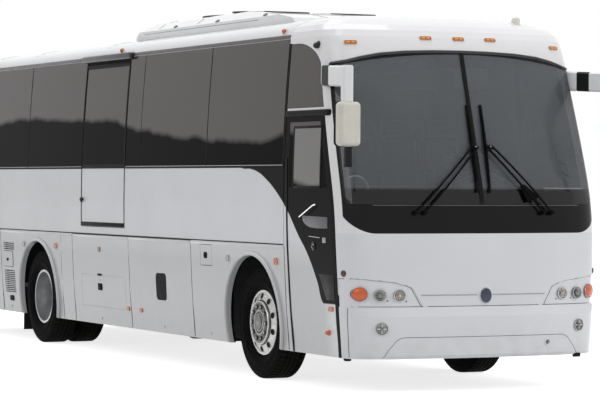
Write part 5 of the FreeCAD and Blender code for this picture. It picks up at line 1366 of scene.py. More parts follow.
wiperBlack = plainMaterial("wiperSatinBlack", (0.003, 0.003, 0.0035), 0.6, vary=0.2, scale=50, bump=0.1,
                           Specular_IOR_Level=0.06)
makeScreenEdges()
makeWipers()
print("screen edges and wipers made")

# mirrors: the solid arm and head keep their place; each finish is its own piece
mirrorForm = {"head": (0.1227, 1.390, 2.295),
              "size": (0.120, 0.200, 0.372), "round": 0.038}


def mirrorFinish(name):
    # warm shell below, white arm above, a black boot round the arm, a black bracket under the head
    material, tree, shader = newMaterial(name)
    place = placeOn(tree)
    white = rampOf(tree, noiseOn(tree, 6, 4), [(0.3, (0.86, 0.87, 0.88)), (0.7, (0.90, 0.91, 0.92))])
    shell = rampOf(tree, noiseOn(tree, 12, 4), [(0.3, (0.70, 0.67, 0.60)), (0.7, (0.75, 0.725, 0.655))])
    low = rangeOf(tree, place["Z"], 2.484, 2.490, 1, 0)
    color = blendColors(tree, low, white, shell)
    rightHand = rangeOf(tree, place["Y"], -0.01, 0.01, 1, 0)
    rightBoot = mathOf(tree, "MULTIPLY", within(tree, place["X"], noseX - 0.690, noseX - 0.432, 0.004),
                       rightHand)
    leftBoot = mathOf(tree, "MULTIPLY", within(tree, place["X"], noseX - 0.478, noseX - 0.331, 0.004),
                      mathOf(tree, "SUBTRACT", 1, rightHand))
    boot = mathOf(tree, "MULTIPLY", mathOf(tree, "MAXIMUM", rightBoot, leftBoot),
                  rangeOf(tree, place["Z"], 2.50, 2.51, 0, 1))
    bracket = rangeOf(tree, place["Z"], 2.104, 2.108, 1, 0)
    dark = mathOf(tree, "MAXIMUM", boot, bracket)
    tree.links.new(blendColors(tree, dark, color, (0.006, 0.006, 0.007)), shader.inputs["Base Color"])
    tree.links.new(rangeOf(tree, dark, 0, 1, 0.3, 0.6), shader.inputs["Roughness"])
    shader.inputs["Specular IOR Level"].default_value = 0.2
    bumpOn(tree, shader, noiseOn(tree, 150, 2), 0.05, 0.001)
    return material


def makeMirrorParts():
    v = mirrorForm
    x, y, z = v["head"]
    deep, wide, high = v["size"]
    for side, name in ((-1, "Right"), (1, "Left")):
        rear = noseX + x - deep / 2
        gasket = roundPlate(wide * 0.98, high * 0.98, 0.006, v["round"] * 0.9, 0.002)
        layOn(gasket, (rear, side * y, z), (-1, 0, 0))
        finishPiece(gasket, "mirrorGasket" + name, rubberSeal, "coach", 50)
        for part, lowShare, tall in (("Main", 0.16, 0.60), ("Wide", -0.34, 0.24)):
            pane = roundPlate(wide * 0.84, high * tall, 0.009, 0.016, 0.001)
            layOn(pane, (rear, side * y, z + high * lowShare), (-1, 0, 0))
            finishPiece(pane, "mirrorPane" + part + name, mirrorGlass, "coach", 50)
        rim = roundPlate(wide + 0.006, high + 0.006, 0.012, v["round"], 0.004)
        layOn(rim, (rear + 0.004, side * y, z), (-1, 0, 0))
        finishPiece(rim, "mirrorRim" + name, rubberSeal, "coach", 50)


mirrorShell = mirrorFinish("mirrorArmsAndShells")
for materialSlot in nodes["mirrors"].material_slots:
    materialSlot.material = mirrorShell
makeMirrorParts()
print("mirrors finished")


# wheels: treaded tyres, nuts on discs of painted shade for their recesses, caps, valves and painted shade in
# the hand holes
wheelForm = {
    "frontX": 3.210, "frontY": 1.030, "rearX": -2.590, "rearY": 1.075, "innerY": 0.745, "axleZ": 0.515,
    # radius and distance from the tyre's middle, from the bead to the middle of the tread
    "half": [(0.288, 0.068), (0.288, 0.094), (0.300, 0.0975), (0.313, 0.109), (0.331, 0.1235),
             (0.353, 0.1355),
             (0.378, 0.1405), (0.381, 0.1425), (0.387, 0.1425), (0.390, 0.1405), (0.432, 0.1410),
             (0.450, 0.1390),
             (0.453, 0.1402), (0.458, 0.1398), (0.461, 0.1375), (0.482, 0.1330), (0.498, 0.1265),
             (0.508, 0.1195),
             (0.5135, 0.110), (0.5146, 0.094), (0.5148, 0.069), (0.5040, 0.067), (0.5040, 0.061),
             (0.5150, 0.059),
             (0.5150, 0.029), (0.5040, 0.027), (0.5040, 0.021), (0.5150, 0.019)],
    "steps": 180, "notch": 0.007, "notchEvery": 3,
    "nuts": 10, "frontNutRing": 0.150, "frontFace": 0.150, "rearNutRing": 0.131, "rearFace": -0.154,
    "holes": 10, "holeRing": 0.240, "coverTilt": 0.29,
}


def tyreForm():
    v = wheelForm
    profile = v["half"] + [(radius, -out) for radius, out in reversed(v["half"])]
    tyre = lathe(profile, v["steps"])
    turn = math.tau / v["steps"]

    def isNotch(face):
        reach = math.hypot(face.center.x, face.center.y)
        index = int((math.atan2(face.center.y, face.center.x) % math.tau) / turn)
        shift = 0 if face.center.z > 0 else 1
        return reach > 0.497 and 0.070 < abs(face.center.z) < 0.123 and (index + shift) % v["notchEvery"] == 0

    pickFaces(tyre, isNotch)
    bpy.ops.mesh.extrude_region_shrink_fatten(TRANSFORM_OT_shrink_fatten={"value": -v["notch"]})
    endEdit()
    return tyre


def toWheel(obj, side, x, y):
    return layOn(obj, (x, side * y, wheelForm["axleZ"]), (0, side, 0))


def inRing(part, count, radius, height, phase=0.0):
    # copies of a piece set in a ring about z
    made = []
    for i in range(count):
        angle = phase + math.tau * i / count
        twin = copyOf(part) if i < count - 1 else part
        twin.rotation_euler = (0, 0, angle)
        twin.location = (radius * math.cos(angle), radius * math.sin(angle), height)
        applyAll(twin)
        made.append(twin)
    return joinPieces(made)


def nutForm(wide, high):
    deselectAll()
    bpy.ops.mesh.primitive_cylinder_add(vertices=6, radius=wide, depth=high, location=(0, 0, high / 2))
    nut = bpy.context.object
    applyAll(nut)
    pickFaces(nut, lambda face: face.normal.z > 0.9)
    bpy.ops.mesh.bevel(offset=wide * 0.15, segments=1)
    endEdit()
    pickFaces(nut, lambda face: face.normal.z > 0.9 and face.area > wide * wide)
    bpy.ops.mesh.inset(thickness=wide * 0.35)
    bpy.ops.transform.translate(value=(0, 0, high * 0.35))
    endEdit()
    return nut


def makeTyres():
    v = wheelForm
    pattern = tyreForm()
    for side, name in ((-1, "Right"), (1, "Left")):
        low = name.lower()
        tyre = toWheel(copyOf(pattern), side, v["frontX"], v["frontY"])
        finishPiece(tyre, "frontTyre" + name, frontTyre, "front_wheel_" + low, 40)
        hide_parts("front_tyre_" + low)
        pair = joinPieces([toWheel(copyOf(pattern), side, v["rearX"], v["rearY"]),
                           toWheel(copyOf(pattern), side, v["rearX"], v["innerY"])])
        finishPiece(pair, "rearTyres" + name, rearTyre, "rear_wheels_" + low, 40)
        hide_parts("rear_tyre_" + low)
    deselectAll()
    pattern.select_set(True)
    bpy.ops.object.delete()


def makeFrontWheelTrim(side, name):
    v = wheelForm
    body = "front_wheel_" + name.lower()
    face = v["frontFace"]

    def place(obj, label, material, smooth=40):
        finishPiece(toWheel(obj, side, v["frontX"], v["frontY"]), "front" + label + name, material, body,
                    smooth)

    ring = lathe([(0.128, face - 0.001), (0.129, face + 0.0015), (0.171, face + 0.0015),
                  (0.172, face - 0.001)], 64)
    place(ring, "NutTrack", turnedDark)
    # painted shade: a dark disc under each nut stands for the shade of its recess
    nutShadeDiscs = inRing(lathe([(0.0215, -0.001), (0.0200, 0.004), (0.0150, 0.0042), (0.0135, 0.001), (0, 0.001)],
                           20),
                     v["nuts"], v["frontNutRing"], face + 0.001)
    place(nutShadeDiscs, "NutRecessShade", grilleDark, 50)
    place(inRing(nutForm(0.0125, 0.012), v["nuts"], v["frontNutRing"], face + 0.001), "Nuts", turnedSteel, 30)
    rims = joinPieces([lathe([(0.187, face - 0.001), (0.190, face + 0.004), (0.199, face + 0.004),
                              (0.204, face - 0.002)], 72),
                       lathe([(0.104, face - 0.001), (0.106, face + 0.004), (0.112, face + 0.004),
                              (0.114, face - 0.001)], 64),
                       lathe([(0.0735, face - 0.001), (0.0745, face + 0.009), (0.080, face + 0.008),
                              (0.083, face - 0.001)], 48)])
    place(rims, "HubRings", satinMetal, 40)
    place(lathe([(0, 0.1662), (0.052, 0.1658), (0.0685, 0.1625), (0.0725, 0.156), (0.0728, 0.150)], 48),
          "HubCap", polished, 40)
    place(lathe([(0.0832, face - 0.001), (0.0838, face + 0.001), (0.103, face + 0.001),
                 (0.104, face - 0.001)], 48),
          "HubGroove", turnedDark)
    # a polished ring over the disc, with a dark disc of painted shade in each hand hole
    cover = lathe([(0.2065, 0.100), (0.2070, 0.1270), (0.2100, 0.1295), (0.2400, 0.1215), (0.2640, 0.1135),
                   (0.2790, 0.1065), (0.2830, 0.1000)], 96)
    place(cover, "DiscCover", frontWheelMetal, 50)
    for label, profile, look in (("HandHoleShade", [(0, 0.0018), (0.0275, 0.0018), (0.0285, -0.004)], grilleDark),
                                 ("HandHoleEdges", [(0.0275, -0.001), (0.0285, 0.0028), (0.0300, 0.0028),
                                                    (0.0315, -0.002)],
                                  frontWheelMetal)):
        well = lathe(profile, 28)
        well.rotation_euler = (0, v["coverTilt"], 0)
        applyAll(well)
        place(inRing(well, v["holes"], v["holeRing"] + 0.003, 0.1210, math.pi / 10), label, look, 40)
    place(valveForm(0.262, 0.070), "Valve", chrome, 40)


def valveForm(radius, height):
    stem = tube([(radius, 0, height), (radius + 0.004, 0, height + 0.030),
                 (radius + 0.004, 0, height + 0.048)], 0.0045,
                0.008, 3)
    return stem


def makeRearWheelTrim(side, name):
    v = wheelForm
    body = "rear_wheels_" + name.lower()

    def place(obj, label, material, smooth=40):
        finishPiece(toWheel(obj, side, v["rearX"], v["rearY"]), "rear" + label + name, material, body, smooth)

    place(inRing(nutForm(0.0155, 0.022), v["nuts"], v["rearNutRing"], v["rearFace"]), "Nuts", turnedSteel, 30)
    studs = inRing(lathe([(0, 0.040), (0.006, 0.0395), (0.0075, 0.037), (0.0075, 0.0)], 12), v["nuts"],
                   v["rearNutRing"],
                   v["rearFace"])
    place(studs, "Studs", satinMetal, 40)
    bolts = inRing(nutForm(0.009, 0.008), 8, 0.092, -0.066)
    place(bolts, "AxleShaftBolts", satinMetal, 30)
    place(lathe([(0.0735, -0.067), (0.0745, -0.058), (0.079, -0.059), (0.081, -0.067)], 48), "HubRing",
          satinMetal)
    place(lathe([(0, -0.0495), (0.050, -0.0498), (0.068, -0.052), (0.0725, -0.058)], 40), "HubCap",
          satinMetal)
    rimLine = lathe([(0.2775, 0.098), (0.2800, 0.1060), (0.2835, 0.1075), (0.2870, 0.1060), (0.2895, 0.098)],
                    90)
    place(rimLine, "RimEdge", turnedSteel)
    shade = lathe([(0.214, -0.158), (0.2145, -0.155), (0.2655, -0.155), (0.266, -0.158)], 72)
    place(shade, "HoleShade", grilleDark)
    place(valveForm(0.255, -0.090), "Valve", chrome, 40)


def makeFrontRimEdge(side, name):
    v = wheelForm
    edge = lathe([(0.2735, 0.098), (0.277, 0.1065), (0.283, 0.109), (0.2895, 0.1075), (0.2925, 0.100)], 90)
    finishPiece(toWheel(edge, side, v["frontX"], v["frontY"]), "frontRimEdge" + name, satinMetal,
                "front_wheel_" + name.lower(), 40)


turnedDark = plainMaterial("turnedHubShade", (0.055, 0.053, 0.05), 0.35, metallic=0.8, vary=0.4, scale=16,
                           bump=0.1)
turnedSteel = plainMaterial("turnedWheelNuts", (0.30, 0.295, 0.285), 0.25, metallic=1.0, vary=0.35, scale=50,
                            bump=0.1)
makeTyres()
print("tyres made")
for wheelSide, wheelName in ((-1, "Right"), (1, "Left")):
    makeFrontWheelTrim(wheelSide, wheelName)
    makeFrontRimEdge(wheelSide, wheelName)
    makeRearWheelTrim(wheelSide, wheelName)
print("wheel trim made")


# seats: cloth cushions on shells and legs, two to a unit, ten rows and the driver's
seatForm = {
    "rows": 10, "firstBack": 2.000, "pitch": 0.800, "units": (-0.640, 0.640), "places": (-0.228, 0.228),
    "deck": 1.300, "seatTop": 1.730, "top": 2.470, "cushion": (0.440, 0.442, 0.128),
    "rest": (0.425, 0.105, 0.700),
    "lean": (0.440, 0.530), "voxel": 0.014, "pressure": 4.0, "frames": 20, "cap": 0.022, "keep": 0.07,
    "driverBack": 0.880, "driverY": 0.560, "driverFloor": 0.960,
}


def inflated(obj, fill=1.0):
    # closed form blown up as cloth: the faces crown and the sides pull in between the corners
    v = seatForm
    remesh = obj.modifiers.new("even mesh", "REMESH")
    remesh.mode = "VOXEL"
    remesh.voxel_size = v["voxel"]
    applyAll(obj)
    start = [point.co.copy() for point in obj.data.vertices]
    cloth = obj.modifiers.new("blown up", "CLOTH")
    cloth.settings.use_pressure = True
    cloth.settings.uniform_pressure_force = v["pressure"] * fill
    cloth.settings.effector_weights.gravity = 0
    cloth.settings.quality = 6
    cloth.point_cache.frame_start = 1
    cloth.point_cache.frame_end = v["frames"]
    for number in range(1, v["frames"] + 1):
        bpy.context.scene.frame_set(number)
    applyAll(obj)
    bpy.context.scene.frame_set(1)
    for point, before in zip(obj.data.vertices, start):
        moved = point.co - before
        if moved.length > v["cap"]:
            point.co = before + moved * (v["cap"] / moved.length)
    fewer = obj.modifiers.new("fewer faces", "DECIMATE")
    fewer.ratio = v["keep"]
    smooth = obj.modifiers.new("rounder", "SUBSURF")
    smooth.levels = 1
    smooth.render_levels = 1
    applyAll(obj)
    return obj


def cushionForm():
    # a slab with rounded edges, blown up as cloth
    deep, wide, high = seatForm["cushion"]
    slab = cubeAt((-deep / 2, -wide / 2 + 0.012, -high + 0.018), (deep / 2 - 0.012, wide / 2 - 0.012, -0.018),
                  0.022, 2)
    return inflated(slab)


def restForm():
    wide, deep, high = seatForm["rest"]
    rest = cubeAt((-deep / 2 + 0.014, -wide / 2 + 0.010, 0.010),
                  (deep / 2 - 0.014, wide / 2 - 0.010, high - 0.205), 0.022, 2)
    return inflated(rest)


def headForm():
    wide, deep, high = seatForm["rest"]
    head = cubeAt((-deep / 2 + 0.012, -wide / 2 + 0.045, high - 0.185),
                  (deep / 2 - 0.016, wide / 2 - 0.045, high - 0.012),
                  0.024, 3)
    return inflated(head)


def leanOf():
    run, rise = seatForm["lean"][1] - seatForm["lean"][0], seatForm["top"] - seatForm["seatTop"]
    return math.atan2(run, rise)


def spreadSeats(pattern, name, atRest):
    v = seatForm
    lift = v["seatTop"] - v["deck"]
    run = 0.375 if atRest else v["cushion"][0] / 2
    if atRest:
        pattern.rotation_euler = (0, -leanOf(), 0)
        pattern.location = (0, 0, 0.004)
        applyAll(pattern)
    places = []
    for unit in v["units"]:
        for place in v["places"]:
            twin = copyOf(pattern)
            twin.location = (noseX - v["firstBack"] - run, unit + place, v["deck"] + lift)
            applyAll(twin)
            places.append(twin)
    row = joinPieces(places)
    rows = row.modifiers.new("rows", "ARRAY")
    rows.count = v["rows"]
    rows.use_relative_offset = False
    rows.use_constant_offset = True
    rows.constant_offset_displace = (-v["pitch"], 0, 0)
    applyAll(row)
    pattern.location = (noseX - v["driverBack"] - run, v["driverY"], v["driverFloor"] + lift)
    applyAll(pattern)
    piece = finishPiece([row, pattern], name, seatCloth, "coach", 60)


def makeSeatFrames():
    v = seatForm
    frames, shells = [], []
    for back, y, floor in [(seatForm["firstBack"] + seatForm["pitch"] * row, unit, v["deck"])
                           for row in range(v["rows"]) for unit in v["units"]] + \
                          [(v["driverBack"], v["driverY"], v["driverFloor"])]:
        half = 0.465 if floor == v["deck"] else 0.260
        lift = floor + v["seatTop"] - v["deck"]
        front, rear = noseX - back, noseX - back - 0.440
        frames.append(cubeAt((rear + 0.02, y - half + 0.01, lift - 0.152),
                             (front - 0.03, y + half - 0.01, lift - 0.126), 0.006))
        for share in ((-0.62, 0.62) if half > 0.3 else (0.0,)):
            legY = y + half * share
            wide = 0.026 if half > 0.3 else 0.110
            frames.append(cubeAt((rear + 0.08, legY - wide, floor - 0.004),
                                 (front - 0.06, legY + wide, floor + 0.020), 0.004))
            frames.append(cubeAt((rear + 0.150, legY - wide * 0.7, floor + 0.010),
                                 (front - 0.150, legY + wide * 0.7, lift - 0.140), 0.008))
        for share in ((-0.98, 0.0, 0.98) if half > 0.3 else (-0.96, 0.96)):
            armY = y + half * share - (0.018 * (1 if share > 0 else -1) if share else 0)
            arm = cubeAt((rear + 0.020, armY - 0.016, lift + 0.165),
                         (front - 0.130, armY + 0.016, lift + 0.200), 0.010, 3)
            shells.append(arm)
            frames.append(cubeAt((rear + 0.03, armY - 0.009, lift - 0.13),
                                 (rear + 0.075, armY + 0.009, lift + 0.180), 0.004))
        centres = v["places"] if half > 0.3 else (0.0,)
        for place in centres:
            shell = cubeAt((-0.062, -0.205, 0.000), (-0.040, 0.205, 0.690), 0.010, 3)
            shell.rotation_euler = (0, -leanOf(), 0)
            shell.location = (rear + 0.065, y + place, lift + 0.004)
            applyAll(shell)
            shells.append(shell)
    frame = finishPiece(frames, "seatFrames", satinDark, "coach", 40)
    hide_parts("seats")
    finishPiece(shells, "seatShellsAndArms", seatShell, "coach", 40)


satinDark = plainMaterial("darkSeatSteel", (0.06, 0.06, 0.065), 0.45, metallic=0.6, vary=0.2, scale=40,
                          bump=0.1)
seatShell = plainMaterial("seatShellPlastic", (0.045, 0.046, 0.050), 0.6, vary=0.2, scale=90, bump=0.2)
makeSeatFrames()
spreadSeats(cushionForm(), "seatCushions", False)
spreadSeats(restForm(), "seatBacks", True)
spreadSeats(headForm(), "seatHeads", True)
print("seats made")

# what shows through the windscreen: the shelf under the glass, the instruments, rails, a partition
cabForm = {
    "shelf": (1.600, 1.735, 0.075, 4.780), "shelfHalf": 1.060,
    "binnacle": ((4.560, 0.290, 1.600), (4.900, 0.840, 1.800)),
    "loop": [(4.74, -1.095, 1.330), (4.74, -1.095, 1.800), (4.74, -1.020, 1.858), (4.74, -0.910, 1.858),
             (4.74, -0.845, 1.790), (4.74, -0.845, 1.330)],
}


def makeCab():
    v = cabForm
    low, high, inset, rear = v["shelf"]
    outline = []
    for i in range(17):
        y = -v["shelfHalf"] + 2 * v["shelfHalf"] * i / 16
        place, _ = hitOn(("windscreen", "windscreen_frame"), (6.0, y, high + 0.01), (-1, 0, 0))
        outline.append((place.x - inset, y, low))
    outline += [(rear, v["shelfHalf"], low), (rear, -v["shelfHalf"], low)]
    shelf = flatShape(outline, (0, 0, 1), high - low, 0.030)
    finishPiece(shelf, "dashShelf", dashShade, "coach", 50)
    hood = cubeAt(*v["binnacle"])
    pickEdges(hood, lambda a, b: abs(a.y - b.y) > 0.3 and min(a.z, b.z) > 1.79)
    bpy.ops.mesh.bevel(offset=0.090, segments=6)
    endEdit()
    softEdges(hood, 0.018, 3, 50)
    finishPiece(hood, "instrumentHood", dashShade, "coach", 50)
    dials = []
    for y, z, r in ((0.44, 1.715, 0.045), (0.565, 1.725, 0.055), (0.69, 1.715, 0.045)):
        dials.append(layOn(lathe([(0, 0.004), (r * 0.92, 0.004), (r, 0.007), (r * 1.04, 0.0)], 28),
                           (4.557, y, z), (-1, 0, 0)))
    finishPiece(dials, "instrumentDials", smokeLens, "coach", 40)
    finishPiece(tube(v["loop"], 0.011, 0.040, 4), "entryHandrail", chrome, "coach", 60)
    screenWall = cubeAt((3.415, -1.160, 1.302), (3.435, -0.300, 1.900), 0.006)
    finishPiece(screenWall, "entryPartition", seatShell)
    lid = []
    for y in (-0.62, 0.0, 0.62):
        lid.append(cubeAt((4.86, y - 0.16, 1.733), (4.98, y + 0.16, 1.743), 0.004))
    finishPiece(lid, "demisterVents", grilleDark)
    pads = cubeAt((4.100, 0.520, 0.962), (4.480, 0.600, 0.980), 0.006)
    finishPiece(pads, "pedalPlate", blackPlastic)
    strip = []
    for side in (-1, 1):
        strip.append(cubeAt((-4.50, side * 0.78 - 0.03, 2.694), (3.25, side * 0.78 + 0.03, 2.702), 0.002))
    finishPiece(strip, "rackLights", rackLight)


dashShade = plainMaterial("dashShelfVinyl", (0.010, 0.010, 0.011), 0.7, vary=0.2, scale=150, bump=0.4,
                          Specular_IOR_Level=0.2)
rackLight = plainMaterial("rackLightStrip", (0.55, 0.55, 0.54), 0.4, vary=0.05, scale=40, bump=0.1)
makeCab()
print("cab and rails made")


# the tail: lamps, louvres, window seal, blank plate place, bumper reflectors, exhaust
tailTrim = {
    "lamps": ((1.295, "red"), (1.420, "amber"), (1.545, "red")), "lampY": 1.060, "lampR": 0.052,
    "window": (0.885, 2.135, 2.885), "louvreRows": 9,
    "louvre": ((-0.760, -0.140), (0.140, 0.760), 0.790, 1.130),
    "plate": (0.560, 0.170, 1.330), "clearance": ((-0.950, 3.000), (-0.300, 3.060), (0.0, 3.062),
                                                  (0.300, 3.060), (0.950, 3.000)),
}


def onTail(y, z, *names):
    names = names or ("rear_cap", "engine_door", "rear_bumper", "rear_glass", "roof")
    return hitOn(names, (-7.0, y, z), (1, 0, 0))


def makeTailLamps():
    v = tailTrim
    reds, ambers, rings = [], [], []
    r = v["lampR"]
    for side in (-1, 1):
        for z, kind in v["lamps"]:
            place, _ = onTail(side * v["lampY"], z, "tail_lamps")
            normal = (-1, 0, 0)
            dome = [(0, 0.012), (r * 0.16, 0.0115), (r * 0.18, 0.014), (r * 0.50, 0.011), (r * 0.52, 0.0125),
                    (r * 0.80, 0.008),
                    (r * 0.93, 0.003), (r * 0.95, -0.004)]
            lens = layOn(lathe(dome, 36), place, normal)
            (reds if kind == "red" else ambers).append(lens)
            rings.append(layOn(lathe([(r * 0.95, -0.004), (r * 0.97, 0.006), (r * 1.06, 0.007),
                                      (r * 1.15, -0.004)], 36),
                               place, normal))
    red = finishPiece(reds, "tailLensesRed", redLens, "coach", 50)
    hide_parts("tail_lamps")
    finishPiece(ambers, "tailLensesAmber", amberLens, "coach", 50)
    finishPiece(rings, "tailLampRings", satinMetal, "coach", 50)
    clear, bases = [], []
    for y, z in v["clearance"]:
        place, _ = onTail(y, z, "rear_cap", "roof")
        up = onTail(y, z + 0.012, "rear_cap", "roof")[0] - onTail(y, z - 0.012, "rear_cap", "roof")[0]
        normal = up.cross(Vector((0, 1, 0))).normalized()
        normal = normal if normal.x < 0 else -normal
        bases.append(layOn(roundPlate(0.116, 0.042, 0.004, 0.013, 0.001), place, normal))
        clear.append(layOn(roundPlate(0.104, 0.030, 0.018, 0.010, 0.005), place, normal))
    for side in (-1, 1):
        place, _ = onTail(side * 0.98, 0.425, "rear_bumper")
        clear.append(layOn(roundPlate(0.110, 0.036, 0.010, 0.008, 0.003), place, (-1, 0, 0)))
    finishPiece(bases, "tailClearanceBases", warmShell, "coach", 50)
    finishPiece(clear, "tailClearanceLenses", redLens, "coach", 50)


def makeTailTrim():
    v = tailTrim
    half, low, high = v["window"]
    corners = [(-half, low), (half, low), (half, high), (-half, high)]
    outline = []
    for (startY, startZ), (endY, endZ) in zip(corners, corners[1:] + corners[:1]):
        for i in range(8):
            share = 0.04 + 0.92 * i / 7
            y, z = startY + (endY - startY) * share, startZ + (endZ - startZ) * share
            outline.append(onTail(y, z, "rear_glass", "rear_cap")[0])
    outline.append(outline[0])
    finishPiece(tube(outline, 0.013, sides=2), "rearWindowSeal", rubberSeal)
    wide, high, z = v["plate"]
    spot, _ = onTail(0, z, "engine_door")
    edge = roundPlate(wide, high, 0.006, 0.020, 0.002)
    finishPiece(layOn(edge, spot, (-1, 0, 0)), "plateHolder", blackPlastic, "engine_door", 40)
    blank = roundPlate(wide - 0.040, high - 0.036, 0.009, 0.010, 0.001)
    finishPiece(layOn(blank, spot, (-1, 0, 0)), "blankPlate", warmShell, "engine_door", 40)
    for side, name in ((-1, "Right"), (1, "Left")):
        lamp, _ = onTail(side * 0.14, z + 0.115, "engine_door")
        finishPiece(layOn(roundPlate(0.070, 0.026, 0.022, 0.010, 0.006), lamp, (-1, 0, 0)),
                    "plateLamp" + name, chrome,
                    "engine_door", 40)
    # louvres: a dark field with sloped blades over it
    firstPair, secondPair, lowZ, topZ = v["louvre"]
    fields, blades = [], []
    for left, right in (firstPair, secondPair):
        spot, _ = onTail((left + right) / 2, (lowZ + topZ) / 2, "engine_door")
        fields.append(layOn(roundPlate(right - left + 0.03, topZ - lowZ + 0.03, 0.002, 0.020),
                            (spot.x, (left + right) / 2, (lowZ + topZ) / 2), (-1, 0, 0)))
        for row in range(v["louvreRows"]):
            height = lowZ + (topZ - lowZ) * (row + 0.5) / v["louvreRows"]
            place, _ = onTail((left + right) / 2, height, "engine_door")
            blade = cubeAt((-0.003, -(right - left) / 2, -0.016), (0.003, (right - left) / 2, 0.016), 0.002,
                           2)
            blade.rotation_euler = (0, math.radians(38), 0)
            blade.location = (place.x - 0.009, (left + right) / 2, height)
            applyAll(blade)
            blades.append(blade)
    finishPiece(fields, "louvreField", grilleDark, "engine_door")
    finishPiece(blades, "louvreBlades", whiteBody, "engine_door")
    for side in (-1, 1):
        place, _ = onTail(side * 0.780, 0.745, "engine_door")
        name = "Right" if side < 0 else "Left"
        finishPiece(layOn(roundPlate(0.075, 0.050, 0.010, 0.018, 0.003), place, (-1, 0, 0)),
                    "engineDoorLatch" + name,
                    blackPlastic, "engine_door", 40)
    finishPiece(layOn(roundPlate(0.200, 0.040, 0.022, 0.012, 0.005), onTail(0, 1.560, "engine_door")[0],
                      (-1, 0, 0)),
                "engineDoorHandle", blackPlastic, "engine_door", 40)
    brake, _ = onTail(0, 2.990, "rear_cap", "roof")
    finishPiece(layOn(roundPlate(0.300, 0.030, 0.012, 0.010, 0.003), brake, (-1, 0, 0)), "highBrakeLamp",
                redLens,
                "coach", 40)
    pipe = tube([(-4.60, 0.62, 0.47), (-5.05, 0.62, 0.45), (-5.30, 0.70, 0.400), (-5.460, 0.72, 0.385)],
                0.045, 0.10, 4)
    finishPiece(pipe, "exhaustPipe", castIron, "coach", 50)
    tip = lathe([(0.041, -0.06), (0.041, 0.018), (0.050, 0.020), (0.052, 0.012), (0.052, -0.06)], 32)
    finishPiece(layOn(tip, (-5.455, 0.72, 0.386), (-1, 0, -0.05)), "exhaustTip", satinMetal, "coach", 40)


makeTailLamps()
makeTailTrim()
print("tail made")

# the roof: seams, lugs and grilles of the unit, hatch seals and pulls, the knobs at the front
roofTrim = {
    "lugs": ((4.960, 0.820), (3.894, 0.820), (2.762, 0.820)), "seams": (2.762, 4.400, 5.400),
    "fans": (3.30, 4.05, 4.80), "hatches": ((-2.020, "roof_hatch_front"), (-4.220, "roof_hatch_rear")),
    "knob": (0.830, 0.768), "doorKnob": (0.834, 3.008), "roofRibs": (5.4, 6.1, 8.35, 9.75),
}


def onTop(x, y, *names):
    names = names or ("roof_unit", "roof", "front_cap", "rear_cap", "roof_hatch_front", "roof_hatch_rear")
    return hitOn(names, (x, y, 5.0), (0, 0, -1))


def makeRoofUnitTrim():
    v = roofTrim
    seams, lugs, fans, blades = [], [], [], []
    for back in v["seams"]:
        x = noseX - back
        line = []
        for i in range(25):
            place, _ = onTop(x, -0.835 + 1.67 * i / 24, "roof_unit")
            if place:
                line.append(place)
        seams.append(tube(line, 0.004, sides=1))
    for side in (-1, 1):
        for i in range(2):
            line = []
            for step in range(13):
                x = noseX - (2.90 + 2.9 * step / 12)
                place, _ = hitOn(("roof_unit",), (x, side * 2, 3.345 + 0.035 * i), (0, -side, 0))
                if place:
                    line.append(place)
            if i == 0 and len(line) > 2:
                seams.append(tube(line, 0.003, sides=1))
        for back, y in v["lugs"]:
            place, normal = hitOn(("roof_unit",), (noseX - back, side * 2, 3.385), (0, -side, 0))
            if place is None:
                continue
            lug = roundPlate(0.060, 0.034, 0.014, 0.012, 0.004)
            lugs.append(layOn(lug, place, normal))
    finishPiece(seams, "roofUnitSeams", podJointAndGrooveShade)
    finishPiece(lugs, "roofUnitLugs", greyPanel, "coach", 40)
    for back in v["fans"]:
        for y in (-0.36, 0.36):
            place, normal = onTop(noseX - back, y, "roof_unit")
            fans.append(layOn(lathe([(0.205, -0.002), (0.208, 0.010), (0.222, 0.010), (0.228, -0.002)], 48),
                              place, normal))
            rings = [layOn(lathe([(r, 0.004), (r + 0.001, 0.008), (r + 0.004, 0.008), (r + 0.005, 0.004)],
                                 40), place, normal)
                     for r in (0.035, 0.070, 0.105, 0.140, 0.175)]
            fans.extend(rings)
            blades.append(layOn(lathe([(0, 0.004), (0.204, 0.004), (0.205, 0.0)], 40), place, normal))
            for turn in range(4):
                fans.append(layOn(roundPlate(0.400, 0.008, 0.009, 0.003, 0.001), place, normal,
                                  math.pi * turn / 4))
    finishPiece(fans, "condenserGuards", blackPlastic)
    finishPiece(blades, "condenserWells", grilleDark)
    # two shallow grooves along the fairing's front part, drawn as grey lines of painted shade
    grooves = []
    for y in (-0.45, -0.15, 0.15, 0.45):
        line = [onTop(noseX - 2.20 - 0.32 * i / 6, y, "roof_unit")[0] for i in range(7)]
        line = [place for place in line if place]
        if len(line) > 2:
            grooves.append(tube(line, 0.0035, sides=1))
    finishPiece(grooves, "fairingGrooveShade", podJointAndGrooveShade)


